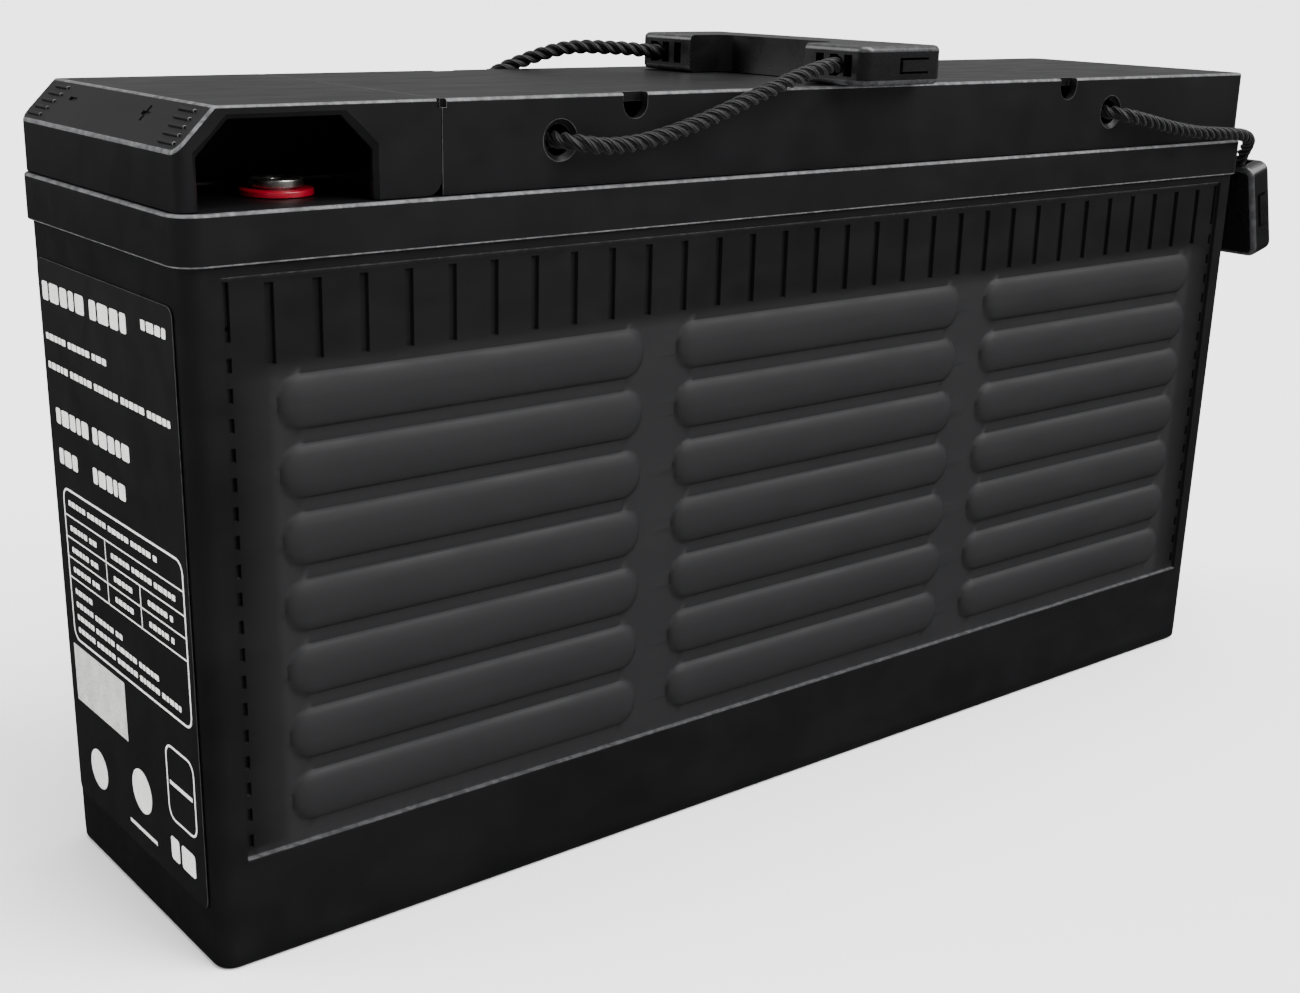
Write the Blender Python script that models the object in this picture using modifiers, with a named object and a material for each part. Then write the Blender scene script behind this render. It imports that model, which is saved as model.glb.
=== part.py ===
"""A slim 12 V deep cycle battery with its terminals at the front end.

The origin is the middle of the container's underside. +X runs along the battery to its rear end, +Y to
its far side and +Z up. The terminals are at the -X end. Each piece of the battery is one named object.
"""

import math

import bmesh
import bpy
from mathutils import Matrix, Vector

MM = 0.001
GAP = 0.3 * MM

# Driving dimensions of the case.
RIM_LENGTH = 455 * MM
RIM_WIDTH = 110 * MM
RIM_BOTTOM = 200.5 * MM
RIM_TOP = 214 * MM
COVER_TOP = 240 * MM
COVER_WIDTH = 106 * MM

# Container.
BASE_LENGTH = 450 * MM
BASE_WIDTH = 105.4 * MM
MOUTH_LENGTH = 452 * MM
MOUTH_WIDTH = 107 * MM
MOUTH_HEIGHT = 210.4 * MM
FLOOR = 3.5 * MM
PARTITION = 2.2 * MM
CELL_HALF_LENGTH = 73.2 * MM
CELL_HALF_WIDTH = 24.2 * MM
CORNER_RADIUS = 6 * MM

# Relief on the container's two long sides.
PANEL_HALF_LENGTH = 215.5 * MM
PANEL_BOTTOM = 33.5 * MM
PANEL_TOP = 197.5 * MM
PANEL_DEPTH = 1.1 * MM
PILLOW_ROWS = 7
PILLOW_FIRST_Z = 47.2 * MM
PILLOW_PITCH = 19.2 * MM
PILLOW_HEIGHT = 14.4 * MM
PILLOW_SPANS = ((-200.5 * MM, -78 * MM), (-65 * MM, 65 * MM), (78 * MM, 200.5 * MM))
PILLOW_RISE = 1.6 * MM
GROOVE_COUNT = 30
GROOVE_PITCH = 13.93 * MM
GROOVE_WIDTH = 2.4 * MM
GROOVE_BOTTOM = 173.5 * MM
GROOVE_TOP = 195 * MM
GROOVE_DEPTH = 0.9 * MM

# Lid and covers.
DECK_BOTTOM = 210.8 * MM
COVER_WALL = 2.8 * MM
COVER_SPLIT_X = -149.8 * MM
COVER_REAR_X = 224.4 * MM
COVER_BOTTOM = RIM_TOP + GAP
NOSE_CHAMFER = 11 * MM
WINDOW_LOW_X = -220 * MM
WINDOW_HIGH_X = -170.3 * MM
WINDOW_TOP = 236.6 * MM
WINDOW_CHAMFER = 9 * MM
BARRIER_THICKNESS = 1.6 * MM
BARRIER_GAP = 2.2 * MM
NOTCH_WIDTH = 9 * MM
NOTCH_DEPTH = 7.5 * MM
NOTCH_X = (-83.5 * MM, 114.5 * MM)

# Terminals.
TERMINAL_X = -187 * MM
TERMINAL_Y = 29 * MM
TERMINAL_TOP = 218.7 * MM
TERMINAL_RADIUS = 7.2 * MM
POST_RADIUS = 5.6 * MM
THREAD_RADIUS = 3.4 * MM
THREAD_DEPTH = 10 * MM
SEAL_RADIUS = 10 * MM
SEAL_HEIGHT = 1.7 * MM
POST_HOLE_RADIUS = 8.2 * MM
O_RING_RADIUS = 6.9 * MM
O_RING_THICKNESS = 1.8 * MM

# Safety valves, one for each cell.
VALVE_X = 128 * MM
VALVE_Y = 21 * MM
VALVE_SEAT_OUTER = 7.2 * MM
VALVE_SEAT_INNER = 4.6 * MM
VALVE_SEAT_TOP = 220 * MM
VALVE_CAP_RADIUS = 9.4 * MM
VALVE_CAP_TOP = 222.6 * MM
VALVE_LIFT = 1 * MM
STRIP_HALF_LENGTH = 143 * MM
STRIP_HALF_WIDTH = 31 * MM
STRIP_BOTTOM = VALVE_CAP_TOP + VALVE_LIFT + GAP
STRIP_THICKNESS = 2 * MM
STRIP_FOOT_RADIUS = 3.5 * MM
STRIP_FEET_X = (-110 * MM, -37 * MM, 37 * MM, 110 * MM)

# Cells: plates stand on edge along the battery and are stacked across it.
PLATE_HALF_LENGTH = 69 * MM
PLATE_BOTTOM = 8 * MM
PLATE_TOP = 160 * MM
POSITIVE_PLATES = 5
NEGATIVE_PLATES = 6
POSITIVE_THICKNESS = 3.4 * MM
NEGATIVE_THICKNESS = 2.4 * MM
MAT_BOTTOM = 4.2 * MM
MAT_TOP = 163 * MM
MAT_HALF_LENGTH = 71 * MM
MAT_HALF_WIDTH = 23.6 * MM
LUG_OFFSET = 38 * MM
LUG_WIDTH = 12 * MM
STRAP_BOTTOM = 170 * MM
STRAP_TOP = 177 * MM
STRAP_HALF_LENGTH = 7.5 * MM
STRAP_HALF_WIDTH = 23.4 * MM
LINK_HALF_HEIGHT = 2.6 * MM
LINK_HALF_WIDTH = 5 * MM
LINK_CLEARANCE = 0.4 * MM

# Carry handles.
HOLE_X = (-110.3 * MM, 140.2 * MM)
HOLE_Z = 227.4 * MM
HOLE_RADIUS = 4.5 * MM
ROPE_DIAMETER = 5 * MM
ROPE_STEP = 9 * MM
KNOT_RADIUS = 5.6 * MM
GRIP_LENGTH = 106 * MM
GRIP_WIDTH = 38.4 * MM
GRIP_THICKNESS = 12.4 * MM
GRIP_RECESS_LENGTH = 54 * MM
GRIP_RECESS_DEPTH = 16 * MM
GRIP_CHANNEL_RADIUS = 3.2 * MM
GRIP_EDGE = 2 * MM
FRONT_GRIP_CENTRE = (13.9 * MM, -11.2 * MM, 246.5 * MM)
FRONT_GRIP_YAW = math.radians(3.4)
REAR_GRIP_CENTRE = (246.4 * MM, -1 * MM, 184.6 * MM)
REAR_GRIP_LEAN = math.radians(15)

# Printed film on the front end.
LABEL_WIDTH = 94 * MM
LABEL_BOTTOM = 18 * MM
LABEL_TOP = 190 * MM

# The front rope from its knot behind the near wall to its knot behind the far wall, in millimetres.
FRONT_ROPE_ROUTE = (
    (-110.3, -41, 227.4), (-110.3, -50.5, 227.4), (-107.2, -57.4, 226.9), (-97, -59.2, 225.8),
    (-82, -58.8, 227), (-63, -58.6, 231.4), (-39, -58.2, 238.9), (-20, -56.6, 244.2),
    (-5, -53.4, 246.4), (8, -50.5, 246.4), (18.4, -44.5, 246.4), (22.3, -34, 246.4),
    (21.3, -12, 246.4), (20, 10, 246.4), (16.2, 20.6, 246.4), (5.5, 27.5, 246.4),
    (-8, 31.5, 246.4), (-22, 38, 247.4), (-36, 47.5, 247), (-52, 55.3, 241.5),
    (-70, 58.6, 233.6), (-86, 59, 228), (-98, 59.2, 226), (-107.2, 57.4, 226.9),
    (-110.3, 50.5, 227.4), (-110.3, 41, 227.4),
)
# The near half of the rear rope, from its knot to the middle of the grip. The far half mirrors it.
REAR_ROPE_HALF_ROUTE = (
    (140.2, -41, 227.3), (140.2, -50.5, 227.3), (143.2, -57.4, 226.6), (153, -59.4, 224.6),
    (170.5, -59.2, 221.2), (187.5, -59.2, 218.8), (204.5, -59.2, 217.6), (218.6, -58.6, 216.4),
    (229.2, -55, 213.4), (236.4, -48.6, 207.4), (239.9, -43.6, 199.4), (241.9, -41.4, 192),
    (244.6, -35.5, 182.4), (246.3, -24, 178.2), (246.4, -10, 177.9),
)
ROUTE_SAMPLES = 24


def srgb(red, green, blue):
    """Turns a colour given in 0 to 255 into the linear values that a material holds."""
    linear = [((c / 255 + 0.055) / 1.055) ** 2.4 if c > 10 else c / 255 / 12.92 for c in (red, green, blue)]
    return (*linear, 1)


# Name: colour, roughness, metallic value.
FINISHES = {
    "case_black": (srgb(38, 38, 40), 0.45, 0),
    "cover_black": (srgb(44, 44, 46), 0.42, 0),
    "grip_black": (srgb(24, 24, 25), 0.35, 0),
    "rope_black": (srgb(22, 22, 22), 0.8, 0),
    "label_black": (srgb(30, 30, 31), 0.4, 0),
    "positive_red": (srgb(190, 20, 35), 0.35, 0),
    "negative_black": (srgb(20, 20, 22), 0.4, 0),
    "tinned_metal": (srgb(205, 205, 200), 0.28, 1),
    "rubber_black": (srgb(28, 28, 28), 0.75, 0),
    "positive_plate": (srgb(92, 62, 50), 0.85, 0),
    "negative_plate": (srgb(110, 114, 118), 0.75, 0.2),
    "glass_mat": (srgb(228, 228, 222), 0.95, 0),
    "lead": (srgb(120, 124, 130), 0.5, 1),
    "strip_grey": (srgb(70, 72, 74), 0.5, 0),
}


def clear_scene():
    """Removes what the file already holds."""
    for existing in list(bpy.data.objects):
        bpy.data.objects.remove(existing, do_unlink=True)


def make_collection(name):
    """Makes a collection and links it to the scene."""
    collection = bpy.data.collections.new(name)
    bpy.context.scene.collection.children.link(collection)
    return collection


def make_material(name):
    """Makes a Principled BSDF material from the table of finishes, once for each name."""
    if name in bpy.data.materials:
        return bpy.data.materials[name]
    colour, roughness, metallic = FINISHES[name]
    material = bpy.data.materials.new(name)
    material.use_nodes = True
    shader = material.node_tree.nodes["Principled BSDF"]
    shader.inputs["Base Color"].default_value = colour
    shader.inputs["Roughness"].default_value = roughness
    shader.inputs["Metallic"].default_value = metallic
    material.diffuse_color = colour
    return material


def add_part(name, bm, finish, parent=None):
    """Makes the named object of one piece from a bmesh."""
    mesh = bpy.data.meshes.new(name)
    bmesh.ops.recalc_face_normals(bm, faces=bm.faces)
    bm.to_mesh(mesh)
    bm.free()
    part = bpy.data.objects.new(name, mesh)
    mesh.materials.append(make_material(finish))
    parts.objects.link(part)
    if parent is not None:
        part.parent = parent
        part.matrix_parent_inverse = parent.matrix_world.inverted()
    return part


def add_cutter(name, bm):
    """Makes a hidden object that shapes a part through a Boolean modifier."""
    mesh = bpy.data.meshes.new(name)
    bmesh.ops.recalc_face_normals(bm, faces=bm.faces)
    bm.to_mesh(mesh)
    bm.free()
    cutter = bpy.data.objects.new(name, mesh)
    cutter.hide_render = True
    cutter.display_type = "WIRE"
    cutters.objects.link(cutter)
    return cutter


def boolean(part, cutter, operation):
    """Adds an exact Boolean modifier."""
    modifier = part.modifiers.new(operation.lower() + "_" + cutter.name, "BOOLEAN")
    modifier.operation = operation
    modifier.solver = "EXACT"
    modifier.object = cutter


def cut(part, cutter):
    """Takes the cutter's shape away from the part."""
    boolean(part, cutter, "DIFFERENCE")


def join(part, cutter):
    """Adds the cutter's shape to the part."""
    boolean(part, cutter, "UNION")


def smooth_round_faces(part, angle=35):
    """Shades a round piece smooth and keeps its edges sharp."""
    part.data.shade_smooth()
    part.data.set_sharp_from_angle(angle=math.radians(angle))


def add_block(bm, low, high):
    """Adds a box between two corners to a bmesh and returns its vertices."""
    low = Vector(low)
    high = Vector(high)
    place = Matrix.Translation((low + high) / 2) @ Matrix.Diagonal((*(high - low), 1))
    return bmesh.ops.create_cube(bm, size=1, matrix=place)["verts"]


def block(low, high):
    """A bmesh with one box between two corners."""
    bm = bmesh.new()
    add_block(bm, low, high)
    return bm


def bevel_edges(bm, width, segments, wanted):
    """Bevels the edges that a test picks out by their two end points."""
    edges = [edge for edge in bm.edges if wanted(edge.verts[0].co, edge.verts[1].co)]
    bmesh.ops.bevel(
        bm, geom=edges, offset=width, segments=segments, profile=0.5, affect="EDGES", clamp_overlap=True
    )


def is_upright(first, second):
    """True for an edge that runs up the object, with or without draft."""
    return abs(first.z - second.z) > 5 * math.hypot(first.x - second.x, first.y - second.y)


def add_rod(bm, start, end, radius, segments=24, end_radius=None):
    """Adds a closed rod or cone between two points to a bmesh."""
    start = Vector(start)
    end = Vector(end)
    turn = (end - start).to_track_quat("Z", "Y").to_matrix().to_4x4()
    bmesh.ops.create_cone(
        bm,
        cap_ends=True,
        segments=segments,
        radius1=radius,
        radius2=radius if end_radius is None else end_radius,
        depth=(end - start).length,
        matrix=Matrix.Translation((start + end) / 2) @ turn,
    )


def turned(name, profile, finish, centre, steps=24):
    """A ring turned about a vertical axis: its closed profile is (radius, height) points, in order."""
    bm = bmesh.new()
    points = [bm.verts.new((radius, 0, height)) for radius, height in profile]
    for first, second in zip(points, points[1:] + points[:1]):
        bm.edges.new((first, second))
    mesh = bpy.data.meshes.new(name)
    bm.to_mesh(mesh)
    bm.free()
    part = bpy.data.objects.new(name, mesh)
    mesh.materials.append(make_material(finish))
    parts.objects.link(part)
    part.location = centre
    screw = part.modifiers.new("turn", "SCREW")
    screw.angle = math.tau
    screw.steps = steps
    screw.render_steps = steps
    screw.use_merge_vertices = True
    screw.merge_threshold = 0.01 * MM
    return part


def add_axis(name, location):
    """An empty on a joint's axis, which carries the pieces that move about it."""
    axis = bpy.data.objects.new(name, None)
    axis.empty_display_size = 20 * MM
    axis.location = location
    parts.objects.link(axis)
    bpy.context.view_layer.update()
    return axis


def cell_centre(number):
    """The middle of a cell. Cells 1 to 3 run back along the near side, and 4 to 6 forward on the far side."""
    column = number - 1 if number <= 3 else 6 - number
    row = -1 if number <= 3 else 1
    x = (column - 1) * (2 * CELL_HALF_LENGTH + PARTITION)
    y = row * (CELL_HALF_WIDTH + PARTITION / 2)
    return Vector((x, y, 0))


def container_blank():
    """The container's outer form: a tapered box with rounded upright corners and a rounded foot."""
    bm = block((-0.5, -0.5, 0), (0.5, 0.5, MOUTH_HEIGHT))
    for vertex in bm.verts:
        at_mouth = vertex.co.z > MOUTH_HEIGHT / 2
        vertex.co.x *= MOUTH_LENGTH if at_mouth else BASE_LENGTH
        vertex.co.y *= MOUTH_WIDTH if at_mouth else BASE_WIDTH
    bevel_edges(bm, CORNER_RADIUS, 3, is_upright)
    bevel_edges(bm, 2 * MM, 1, lambda a, b: max(a.z, b.z) < 1 * MM)
    return bm


def side_face_y(z):
    """How far the container's drafted long side stands from the middle at a height."""
    return (BASE_WIDTH + (MOUTH_WIDTH - BASE_WIDTH) * z / MOUTH_HEIGHT) / 2


def side_panels():
    """Cutter: the shallow recess in each long side."""
    bm = bmesh.new()
    for side in (-1, 1):
        verts = add_block(
            bm, (-PANEL_HALF_LENGTH, 0, PANEL_BOTTOM), (PANEL_HALF_LENGTH, 10 * MM, PANEL_TOP)
        )
        for vertex in verts:
            inner = vertex.co.y < 5 * MM
            depth = PANEL_DEPTH if inner else -10 * MM
            vertex.co.y = side * (side_face_y(vertex.co.z) - depth)
    return bm


def side_pillows():
    """Adder: the raised, round-backed bars that stiffen the panels, in three columns."""
    bm = bmesh.new()
    for side in (-1, 1):
        for low_x, high_x in PILLOW_SPANS:
            for row in range(PILLOW_ROWS):
                z = PILLOW_FIRST_Z + row * PILLOW_PITCH
                face = side_face_y(z) - PANEL_DEPTH
                half = PILLOW_HEIGHT / 2
                verts = add_block(
                    bm, (low_x, face - 0.6 * MM, z - half), (high_x, face + PILLOW_RISE, z + half)
                )
                for vertex in verts:
                    if vertex.co.y > face:
                        vertex.co.z = z + (vertex.co.z - z) * 0.5
                        middle = (low_x + high_x) / 2
                        vertex.co.x = middle + (vertex.co.x - middle) * 0.94
                    vertex.co.y *= side
    return bm


def side_grooves():
    """Cutter: the row of upright grooves below the rim on each long side."""
    bm = bmesh.new()
    for side in (-1, 1):
        for number in range(GROOVE_COUNT):
            x = (number - (GROOVE_COUNT - 1) / 2) * GROOVE_PITCH
            face = side_face_y((GROOVE_BOTTOM + GROOVE_TOP) / 2) - PANEL_DEPTH
            span = sorted((side * (face - GROOVE_DEPTH), side * (face + 2 * MM)))
            add_block(
                bm,
                (x - GROOVE_WIDTH / 2, span[0], GROOVE_BOTTOM),
                (x + GROOVE_WIDTH / 2, span[1], GROOVE_TOP),
            )
    return bm


def cell_cavities():
    """Cutter: the six cells, open at the container's mouth."""
    bm = bmesh.new()
    for number in range(1, 7):
        centre = cell_centre(number)
        add_block(
            bm,
            (centre.x - CELL_HALF_LENGTH, centre.y - CELL_HALF_WIDTH, FLOOR),
            (centre.x + CELL_HALF_LENGTH, centre.y + CELL_HALF_WIDTH, MOUTH_HEIGHT + 5 * MM),
        )
    return bm


def link_box(number, spread):
    """The two corners of the link from a cell to the next one, with its size grown by spread."""
    middle_z = (STRAP_BOTTOM + STRAP_TOP) / 2
    start = cell_centre(number)
    end = cell_centre(number + 1)
    middle = (start + end) / 2
    if number == 3:
        reach = (end - start).length / 2 - STRAP_HALF_WIDTH - GAP
        half = Vector((LINK_HALF_WIDTH, reach, LINK_HALF_HEIGHT))
        middle.x += LUG_OFFSET
    else:
        reach = (end - start).length / 2 - LUG_OFFSET - STRAP_HALF_LENGTH - GAP
        half = Vector((reach, LINK_HALF_WIDTH, LINK_HALF_HEIGHT))
    middle.z = middle_z
    half += Vector((spread, spread, spread))
    return middle - half, middle + half


def link_windows():
    """Cutter: the five windows in the partitions that the links pass through."""
    bm = bmesh.new()
    for number in range(1, 6):
        low, high = link_box(number, LINK_CLEARANCE)
        along = 1 if number == 3 else 0
        middle = (low + high) / 2
        low[along] = middle[along] - 2 * PARTITION
        high[along] = middle[along] + 2 * PARTITION
        add_block(bm, low, high)
    return bm


def build_container():
    """The container: one moulding with six cells, panels, stiffening bars and grooves."""
    part = add_part("container", container_blank(), "case_black")
    cut(part, add_cutter("side_panels", side_panels()))
    join(part, add_cutter("side_pillows", side_pillows()))
    cut(part, add_cutter("side_grooves", side_grooves()))
    cut(part, add_cutter("cell_cavities", cell_cavities()))
    cut(part, add_cutter("link_windows", link_windows()))


def valve_places():
    """The middle of each safety valve, in the order of the cells."""
    for number in range(1, 7):
        centre = cell_centre(number)
        x = VALVE_X * round(centre.x / CELL_HALF_LENGTH / 2)
        yield number, Vector((x, math.copysign(VALVE_Y, centre.y), 0))


def build_lid():
    """The lid: a deck with a rim that fits over the container's mouth, valve seats and terminal holes."""
    half = Vector((RIM_LENGTH / 2, RIM_WIDTH / 2, 0))
    bm = block((-half.x, -half.y, RIM_BOTTOM), (half.x, half.y, RIM_TOP))
    bevel_edges(bm, CORNER_RADIUS + 1.5 * MM, 4, is_upright)
    bevel_edges(bm, 1 * MM, 1, lambda a, b: min(a.z, b.z) > RIM_TOP - 1e-6)
    part = add_part("lid", bm, "case_black")

    mouth = Vector((MOUTH_LENGTH / 2 + GAP, MOUTH_WIDTH / 2 + GAP, 0))
    skirt = block((-mouth.x, -mouth.y, RIM_BOTTOM - 5 * MM), (mouth.x, mouth.y, DECK_BOTTOM))
    bevel_edges(skirt, CORNER_RADIUS, 4, is_upright)
    cut(part, add_cutter("skirt_hollow", skirt))

    seats = bmesh.new()
    bores = bmesh.new()
    for _, place in valve_places():
        base = place + Vector((0, 0, DECK_BOTTOM + 1 * MM))
        top = place + Vector((0, 0, VALVE_SEAT_TOP))
        add_rod(seats, base, top, VALVE_SEAT_OUTER, segments=16)
        add_rod(bores, place + Vector((0, 0, 200 * MM)), top + Vector((0, 0, 5 * MM)), VALVE_SEAT_INNER, 12)
    for side in (-1, 1):
        place = Vector((TERMINAL_X, side * TERMINAL_Y, 0))
        add_rod(bores, place + Vector((0, 0, 200 * MM)), place + Vector((0, 0, 225 * MM)), POST_HOLE_RADIUS)
    join(part, add_cutter("valve_seats", seats))
    cut(part, add_cutter("lid_bores", bores))


def build_top_cover():
    """The raised cover over the valves, with the rope holes and two notches along each top edge."""
    half_width = COVER_WIDTH / 2
    rear = COVER_REAR_X
    bm = block((COVER_SPLIT_X + GAP, -half_width, COVER_BOTTOM), (rear, half_width, COVER_TOP))
    bevel_edges(bm, 4 * MM, 3, lambda a, b: is_upright(a, b) and a.x > 0)
    bevel_edges(bm, 1 * MM, 1, lambda a, b: min(a.z, b.z) > COVER_TOP - 1e-6)
    part = add_part("top_cover", bm, "cover_black")

    wall = COVER_WALL
    hollow = block(
        (COVER_SPLIT_X + wall, -half_width + wall, COVER_BOTTOM - 5 * MM),
        (rear - wall, half_width - wall, COVER_TOP - wall),
    )
    cut(part, add_cutter("top_cover_hollow", hollow))

    openings = bmesh.new()
    for x in HOLE_X:
        for side in (-1, 1):
            add_rod(openings, (x, side * 45 * MM, HOLE_Z), (x, side * 60 * MM, HOLE_Z), HOLE_RADIUS, 20)
    for x in NOTCH_X:
        for side in (-1, 1):
            span = sorted((side * (half_width - wall - 1 * MM), side * (half_width + 5 * MM)))
            add_block(
                openings,
                (x - NOTCH_WIDTH / 2, span[0], COVER_TOP - NOTCH_DEPTH),
                (x + NOTCH_WIDTH / 2, span[1], COVER_TOP + 5 * MM),
            )
    cut(part, add_cutter("top_cover_openings", openings))


def build_terminal_cover():
    """The lift-off cover over the terminals, with a window on each side for the cables."""
    axis = add_axis("terminal_cover_slide", (TERMINAL_X, 0, COVER_BOTTOM))
    half_width = COVER_WIDTH / 2
    nose_x = -RIM_LENGTH / 2 + 1.5 * MM
    bm = block((nose_x, -half_width, COVER_BOTTOM), (COVER_SPLIT_X, half_width, COVER_TOP))
    bevel_edges(
        bm,
        NOSE_CHAMFER,
        1,
        lambda a, b: min(a.z, b.z) > COVER_TOP - 1e-6 and max(a.x, b.x) < nose_x + 1e-6,
    )
    bevel_edges(bm, 3 * MM, 2, lambda a, b: is_upright(a, b) and a.x < TERMINAL_X)
    part = add_part("terminal_cover", bm, "cover_black", axis)

    wall = COVER_WALL
    hollow = block(
        (nose_x + wall, -half_width + wall, COVER_BOTTOM - 5 * MM),
        (COVER_SPLIT_X - wall, half_width - wall, COVER_TOP - wall),
    )
    bevel_edges(
        hollow,
        NOSE_CHAMFER - 0.4 * wall,
        1,
        lambda a, b: min(a.z, b.z) > COVER_TOP - wall - 1e-6 and max(a.x, b.x) < TERMINAL_X,
    )
    cut(part, add_cutter("terminal_cover_hollow", hollow))

    window = block(
        (WINDOW_LOW_X, -half_width - 5 * MM, COVER_BOTTOM - 5 * MM),
        (WINDOW_HIGH_X, half_width + 5 * MM, WINDOW_TOP),
    )
    bevel_edges(
        window,
        WINDOW_CHAMFER,
        1,
        lambda a, b: min(a.z, b.z) > WINDOW_TOP - 1e-6 and abs(a.x - b.x) < 1e-6,
    )
    cut(part, add_cutter("terminal_windows", window))

    barrier = block(
        (nose_x + wall - 0.5 * MM, -BARRIER_THICKNESS / 2, COVER_BOTTOM + BARRIER_GAP),
        (COVER_SPLIT_X - wall + 0.5 * MM, BARRIER_THICKNESS / 2, COVER_TOP - NOSE_CHAMFER - 0.1 * MM),
    )
    join(part, add_cutter("terminal_barrier", barrier))
    upper = block(
        (nose_x + NOSE_CHAMFER + 1 * MM, -BARRIER_THICKNESS / 2, COVER_TOP - NOSE_CHAMFER - 1 * MM),
        (COVER_SPLIT_X - wall + 0.5 * MM, BARRIER_THICKNESS / 2, COVER_TOP - wall + 0.5 * MM),
    )
    join(part, add_cutter("terminal_barrier_top", upper))


def build_terminals():
    """Each terminal: a cast post with a threaded head, a colour ring and a rubber ring in the lid."""
    seal_bottom = RIM_TOP + GAP
    seal_top = seal_bottom + SEAL_HEIGHT
    head_bottom = seal_top + GAP
    ring_middle = (DECK_BOTTOM + RIM_TOP) / 2
    for side, name, colour in ((-1, "positive", "positive_red"), (1, "negative", "negative_black")):
        centre = Vector((TERMINAL_X, side * TERMINAL_Y, 0))
        post = bmesh.new()
        add_rod(
            post,
            centre + Vector((0, 0, STRAP_TOP + GAP)),
            centre + Vector((0, 0, head_bottom + 1 * MM)),
            POST_RADIUS,
        )
        part = add_part(name + "_terminal", post, "tinned_metal")
        head = bmesh.new()
        add_rod(
            head,
            centre + Vector((0, 0, head_bottom)),
            centre + Vector((0, 0, TERMINAL_TOP)),
            TERMINAL_RADIUS,
            segments=28,
        )
        join(part, add_cutter(name + "_head", head))
        thread = bmesh.new()
        add_rod(
            thread,
            centre + Vector((0, 0, TERMINAL_TOP - THREAD_DEPTH)),
            centre + Vector((0, 0, TERMINAL_TOP + 5 * MM)),
            THREAD_RADIUS,
            segments=16,
        )
        cut(part, add_cutter(name + "_thread", thread))

        inner = POST_RADIUS + GAP
        edge = 0.4 * MM
        ring = (
            (inner, seal_bottom), (inner, seal_top), (SEAL_RADIUS - edge, seal_top),
            (SEAL_RADIUS, seal_top - edge), (SEAL_RADIUS, seal_bottom),
        )
        smooth_round_faces(turned(name + "_seal_ring", ring, colour, centre, steps=28))
        section = [
            (
                O_RING_RADIUS + O_RING_THICKNESS / 2 * math.cos(math.tau * step / 8),
                ring_middle - O_RING_THICKNESS / 2 * math.sin(math.tau * step / 8),
            )
            for step in range(8)
        ]
        smooth_round_faces(turned(name + "_o_ring", section, "rubber_black", centre, steps=20))


def build_valves():
    """The rubber cap on each valve seat."""
    bottom = RIM_TOP + GAP
    roof = VALVE_SEAT_TOP + GAP
    inner = VALVE_SEAT_OUTER + GAP
    for number, place in valve_places():
        axis = add_axis(f"valve_{number}_slide", place + Vector((0, 0, VALVE_SEAT_TOP)))
        low = place + Vector((0, 0, bottom))
        high = place + Vector((0, 0, VALVE_CAP_TOP))
        cap = bmesh.new()
        add_rod(cap, low, high, VALVE_CAP_RADIUS, segments=20)
        bevel_edges(cap, 1 * MM, 1, lambda a, b: min(a.z, b.z) > VALVE_CAP_TOP - 1e-6)
        part = add_part(f"safety_valve_{number}", cap, "rubber_black", axis)
        socket = bmesh.new()
        add_rod(socket, low - Vector((0, 0, 2 * MM)), place + Vector((0, 0, roof)), inner, segments=16)
        cut(part, add_cutter(f"valve_{number}_socket", socket))


def build_valve_strip():
    """The footed strip above the valves, which keeps the caps from coming off."""
    bm = block(
        (-STRIP_HALF_LENGTH, -STRIP_HALF_WIDTH, STRIP_BOTTOM),
        (STRIP_HALF_LENGTH, STRIP_HALF_WIDTH, STRIP_BOTTOM + STRIP_THICKNESS),
    )
    bevel_edges(bm, 4 * MM, 2, is_upright)
    part = add_part("valve_strip", bm, "strip_grey")
    feet = bmesh.new()
    for x in STRIP_FEET_X:
        add_rod(
            feet, (x, 0, RIM_TOP + GAP), (x, 0, STRIP_BOTTOM + STRIP_THICKNESS / 2), STRIP_FOOT_RADIUS, 12
        )
    join(part, add_cutter("strip_feet", feet))


def plate_layers():
    """Each plate of a cell, as (is it positive, its middle across the cell, its thickness)."""
    count = POSITIVE_PLATES + NEGATIVE_PLATES
    solid = POSITIVE_PLATES * POSITIVE_THICKNESS + NEGATIVE_PLATES * NEGATIVE_THICKNESS
    mat = (2 * MAT_HALF_WIDTH - solid - 2 * count * GAP) / (count + 1)
    y = -MAT_HALF_WIDTH
    for layer in range(count):
        positive = layer % 2 == 1
        thickness = POSITIVE_THICKNESS if positive else NEGATIVE_THICKNESS
        y += mat + GAP + thickness / 2
        yield positive, y, thickness
        y += thickness / 2 + GAP


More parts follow.
